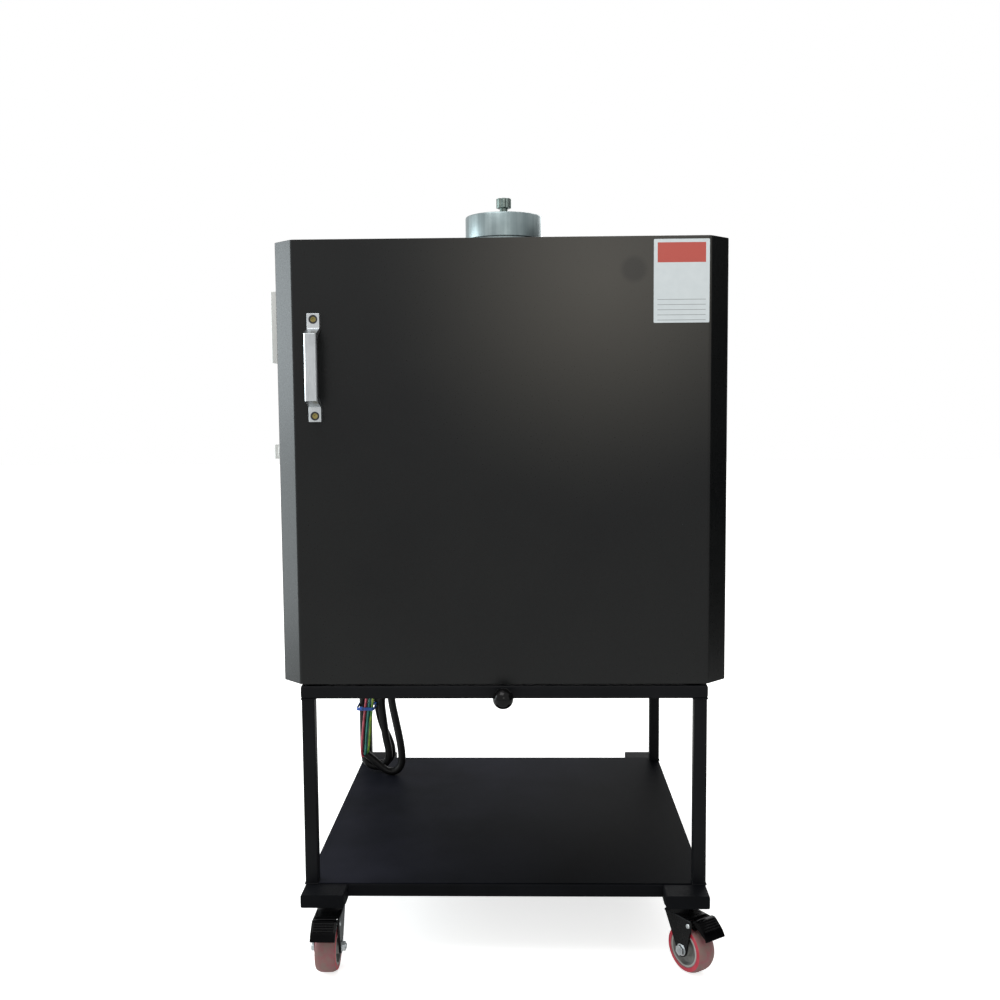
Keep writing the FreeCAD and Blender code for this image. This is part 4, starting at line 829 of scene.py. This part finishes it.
# the panel's own screws, then the smaller ones of the vented cover: y, size, then x and z of each
rearScrews = [(311.5, (4.6, 2.8, 2.2), (-285, -95, 95, 285), (464, 1089)),
              (311.5, (4.6, 2.8, 2.2), (-288, 288), (620, 776, 932)),
              (312.7, (3.6, 2.3, 2.2), (-242, 242), (620, 776, 932)),
              (312.7, (3.6, 2.3, 2.2), (-160, 0, 160), (574.5, 978.5))]
screwSet("rear_panel_screws", brightZinc, [((x, y, z), (0, 1, 0), *size) for y, size, columns, levels
                                           in rearScrews for x, z in product(columns, levels)])

sideScrew = {"x": 341.8, "y": 250, "levels": (470, 640, 913, 1083), "size": (4.2, 2.5, 2.2)}
screwSet("side_panel_screws", blackZinc,
         [((sx * sideScrew["x"], sideScrew["y"], z), (sx, 0, 0), *sideScrew["size"])
          for sx, z in product((-1, 1), sideScrew["levels"])])


# hinges

hinge = {"levels": (530, 966), "leaf": 344.8, "doorScrews": -240, "casingScrews": -192, "apart": 18, "up": 20,
         "size": (3.6, 1.8, 2.2)}
dressNode("door_hinge_halves", "door_hinge_leaves", brightZinc, "door", rounding=0.6)
dressNode("casing_hinge_halves", "casing_hinge_leaves", brightZinc, rounding=0.6)
for name, body, y in (("hinge_screws_door", "door", hinge["doorScrews"]),
                      ("hinge_screws_casing", root, hinge["casingScrews"])):
    spots = product(hinge["levels"], (0, hinge["apart"]), (-hinge["up"], hinge["up"]))
    screwSet(name, brightZinc, [((hinge["leaf"], y + dy, level + dz), (1, 0, 0), *hinge["size"])
                                for level, dy, dz in spots], body)
print("casing and hinges made")


# door

door = {"half": 341.8, "face": -310, "rear": -210, "low": 443, "high": 1113, "cut": 31.8, "bend": 3.4,
        "sheet": 1.5}
half, face, rear, cut = door["half"], door["face"], door["rear"], door["cut"]
bm = bmesh.new()
outline = [(-half, rear), (-half, face + cut), (-half + cut, face), (half - cut, face), (half, face + cut),
           (half, rear)]
addPrism(bm, [(x, y, door["low"]) for x, y in outline], (0, 0, door["high"] - door["low"]))
bmesh.ops.delete(bm, geom=[f for f in bm.faces if f.normal.y > 0.9], context="FACES")
roundEdges(bm, lambda mid, run: abs(run.z) > 0.9 and mid.y < rear - 5, door["bend"], 5)
piece("door_skin", bm, doorPaint, "door", stands=["door_pan"], rounding=0.9, segments=3,
      angle=60, wall=door["sheet"])
dressNode("door_frame_inside", "door_inner_frame", galvanised, "door", rounding=0.4)
dressNode("door_brick_plug", "door_lining", backBrick, "door", rounding=1.2,
          keep=lambda low, high: high.y > -200)
dressNode("door_fibre_board", "door_lining", fibreBoard, "door", rounding=0.6,
          keep=lambda low, high: high.y < -200)
dressNode("door_rope_gasket", "door_gasket", gasketRope, "door", rounding=1.5, segments=3)

sticker = {"x": (226, 308), "z": (986, 1108), "thick": 0.25, "corner": 1.5}
bm = bmesh.new()
addBox(bm, sticker["x"], (face - sticker["thick"], face + 0.05), sticker["z"])
roundEdges(bm, lambda mid, run: abs(run.y) > 0.9, sticker["corner"], 4)
piece("door_sticker", bm, stickerVinyl, "door", angle=50)

# washer is the profile of a dark ring of painted shade round each bolt head
handle = {"x": -277.3, "z": 923.6, "footFace": -322, "boltUp": 71.3,
          "washer": [(4.3, -0.3), (4.3, 0.1), (6.6, 0.1), (6.8, -0.3)]}
dressNode("door_bow_handle", "door_handle", aluminium, "door", rounding=1.6, segments=4)
dressNode("door_handle_bolts", "handle_screws", yellowZinc, "door", rounding=0.4)
bm = bmesh.new()
for level in (-handle["boltUp"], handle["boltUp"]):  # dark rings round the bolt heads, drawn as washers: painted shade for the shadow in each counterbore
    foot = (handle["x"], handle["footFace"], handle["z"] + level)
    addLathe(bm, handle["washer"], foot, (0, -1, 0), sides=40)
piece("door_handle_shade_rings", bm, blackNylon, "door", angle=50)
print("door made")


# flue: the drum is a spun cap over a neck of the same sheet

flue = {"cap": [(65.5, 1153.0), (66.4, 1152.9), (67, 1153.6), (67, 1190.4), (66.3, 1192.2), (64.6, 1193.0),
                (8.2, 1193.0), (3.1, 1193.0), (3.1, 1191.6), (64, 1191.5), (65.4, 1190.2)],
        "neck": [(31.2, 1113), (31.2, 1114.5), (62.4, 1114.6), (63.0, 1115.4), (63.0, 1191), (64.5, 1191),
                 (64.5, 1117.4), (65.8, 1115.2), (68, 1114.5), (78.2, 1114.4), (78.5, 1113)],
        "screws": 6, "screwRing": 72, "flange": 1114.4, "size": (3.2, 2.2, 2.2)}
bm = bmesh.new()
addLathe(bm, flue["cap"], (0, 0, 0), (0, 0, 1), sides=128)
piece("flue_cap_drum", bm, stainless, "flue_cap", stands=["flue_cap"], angle=40)
dressNode("flue_cap_grip", "flue_cap_knob", turnedSteel, "flue_cap", rounding=2.0, segments=4)
bm = bmesh.new()
addLathe(bm, flue["neck"], (0, 0, 0), (0, 0, 1), sides=128)
piece("flue_neck", bm, stainless, stands=["flue_spigot"], angle=40)
turns = [math.tau * (i + 0.5) / flue["screws"] for i in range(flue["screws"])]
spots = [(flue["screwRing"] * math.cos(turn), flue["screwRing"] * math.sin(turn), flue["flange"])
         for turn in turns]
screwSet("flue_neck_screws", brightZinc, [(spot, (0, 0, 1), *flue["size"]) for spot in spots])
dressNode("flue_ceramic_tube", "flue_tube", steatite, rounding=0.8)
print("flue made")


# damper

knob = {"y": -336, "z": 427, "radius": 15.6, "steps": 23, "stepDegrees": 7}
bm = bmesh.new()
profile = [(0, -knob["radius"])]
for i in range(1, knob["steps"] + 1):
    turn = math.radians(-90 + i * knob["stepDegrees"])
    profile.append((knob["radius"] * math.cos(turn), knob["radius"] * math.sin(turn)))
profile += [(5.6, 14.4), (5.2, 14.6), (4.0, 14.6), (4.0, 12), (0, 12)]  # its collar and the bore for the rod
addLathe(bm, profile, (0, knob["y"], knob["z"]), (0, 1, 0), sides=64)
piece("damper_ball_knob", bm, phenolic, "air_damper", stands=["damper_knob"], angle=60)
dressNode("damper_slide_plate", "damper_plate", galvanised, "air_damper")
dressNode("damper_pull_rod", "damper_rod", brightZinc, "air_damper")
dressNode("damper_guide_rails", "damper_guides", galvanised, rounding=0.4)


# controls

control = {"out": -375.5, "screwY": (-170, -26), "screwZ": (945, 1043), "size": (2.6, 1.4, 1.4),
           "pointer": ((-375.1, -374.6), (-160.6, -159.4), (797, 804.5))}
dressNode("control_case", "control_housing", greyCoat, rounding=1.4, segments=3)
dressNode("control_screen", "touch_screen", screenGlass, rounding=0.4)
screwSet("control_case_screws", brightZinc, [((control["out"], y, z), (-1, 0, 0), *control["size"])
                                             for y, z in product(control["screwY"], control["screwZ"])])
dressNode("switch_collar", "power_switch_base", blackNylon, rounding=0.6)
dressNode("switch_knob", "power_switch_knob", greyPlastic, "power_switch", rounding=1.0, segments=3)
bm = bmesh.new()
addBox(bm, *control["pointer"])
piece("switch_pointer", bm, blackNylon, "power_switch", rounding=0.2)
print("controls made")


# chamber: each lining is brick towards the chamber and fibre board behind it

for name, node, brick, axis, split, outward in (  # the split lies between the two, along one axis
        ("left_wall", "left_wall_lining", sideBrick, 0, -250, -1),
        ("right_wall", "right_wall_lining", sideBrick, 0, 250, 1),
        ("back_wall", "back_wall_lining", backBrick, 1, 220, 1),
        ("roof", "roof_lining", levelBrick, 2, 1050, 1),
        ("hearth", "floor_lining", levelBrick, 2, 550, -1)):

    def behind(low, high):
        return low[axis] > split if outward > 0 else high[axis] < split

    dressNode(name + "_brick", node, brick, rounding=0.8, keep=lambda low, high: not behind(low, high))
    dressNode(name + "_board", node, fibreBoard, keep=behind)

coil = {"x": 199, "front": -142.5, "rear": 165.5, "radius": 5.9, "wire": 0.95, "pitch": 6.2, "steps": 12,
        "lowest": 626.5, "rowsApart": 60, "drop": 1.8, "tailEnd": 338, "tail": 3.0}
rows = [coil["lowest"] - coil["drop"] + coil["rowsApart"] * i for i in range(6)]


def woundCoil(bm, start, along, length, out):
    # one turn of a round wire, swept by a screw motion, then repeated along the coil
    centre, along, out = Vector(start), Vector(along), Vector(out)
    part = bmesh.new()
    turn = Matrix((out, along, along.cross(out))).transposed().to_4x4()
    place = Matrix.Translation(centre + out * coil["radius"]) @ turn
    section = bmesh.ops.create_circle(part, segments=5, radius=coil["wire"], matrix=place)["verts"]
    bmesh.ops.spin(part, geom=section + part.edges[:], cent=centre, axis=along, angle=math.tau,
                   steps=coil["steps"], dvec=along * (coil["pitch"] / coil["steps"]), use_merge=False)
    mesh = bpy.data.meshes.new("turn")
    for step in range(int(length / coil["pitch"])):
        part.to_mesh(mesh)
        bm.from_mesh(mesh)
        bmesh.ops.translate(part, vec=along * coil["pitch"], verts=part.verts)
    part.free()
    bpy.data.meshes.remove(mesh)


for side, node in ((-1, "elements_left"), (1, "elements_right")):
    bm = bmesh.new()
    x = side * coil["x"]
    for i, z in enumerate(rows):
        woundCoil(bm, (x, coil["front"] + 4, z), (0, 1, 0), coil["rear"] - coil["front"] - 4, (0, 0, 1))
        if i % 2 == 0:  # every second row turns up into the next at the front
            woundCoil(bm, (x, coil["front"], z), (0, 0, 1), coil["rowsApart"], (0, 1, 0))
        addRod(bm, (x, coil["rear"] - 3, z), (x, coil["tailEnd"], z), coil["tail"], sides=16)
    bmesh.ops.remove_doubles(bm, verts=bm.verts, dist=0.01)
    bmesh.ops.recalc_face_normals(bm, faces=bm.faces)
    piece(node + "_wound", bm, heatingWire, stands=[node], angle=60)

clampScrew = {"in": 7, "y": 329, "size": (2.4, 2.0, 1.2)}
dressNode("terminal_bushes", "element_terminals", steatite, rounding=1.2, segments=3,
          keep=lambda low, high: low.y < 315)
dressNode("terminal_clamps", "element_terminals", brightZinc, rounding=0.8,
          keep=lambda low, high: low.y > 315)
x = coil["x"] - clampScrew["in"]
screwSet("terminal_clamp_screws", brightZinc,
         [((side * x, clampScrew["y"], z), (-side, 0, 0), *clampScrew["size"])
          for side, z in product((-1, 1), rows)])
dressNode("thermocouple_probe", "thermocouple", steatite, rounding=1.0)
dressNode("door_catch_magnets", "catch_magnets", brightZinc, rounding=0.8)
print("chamber made")
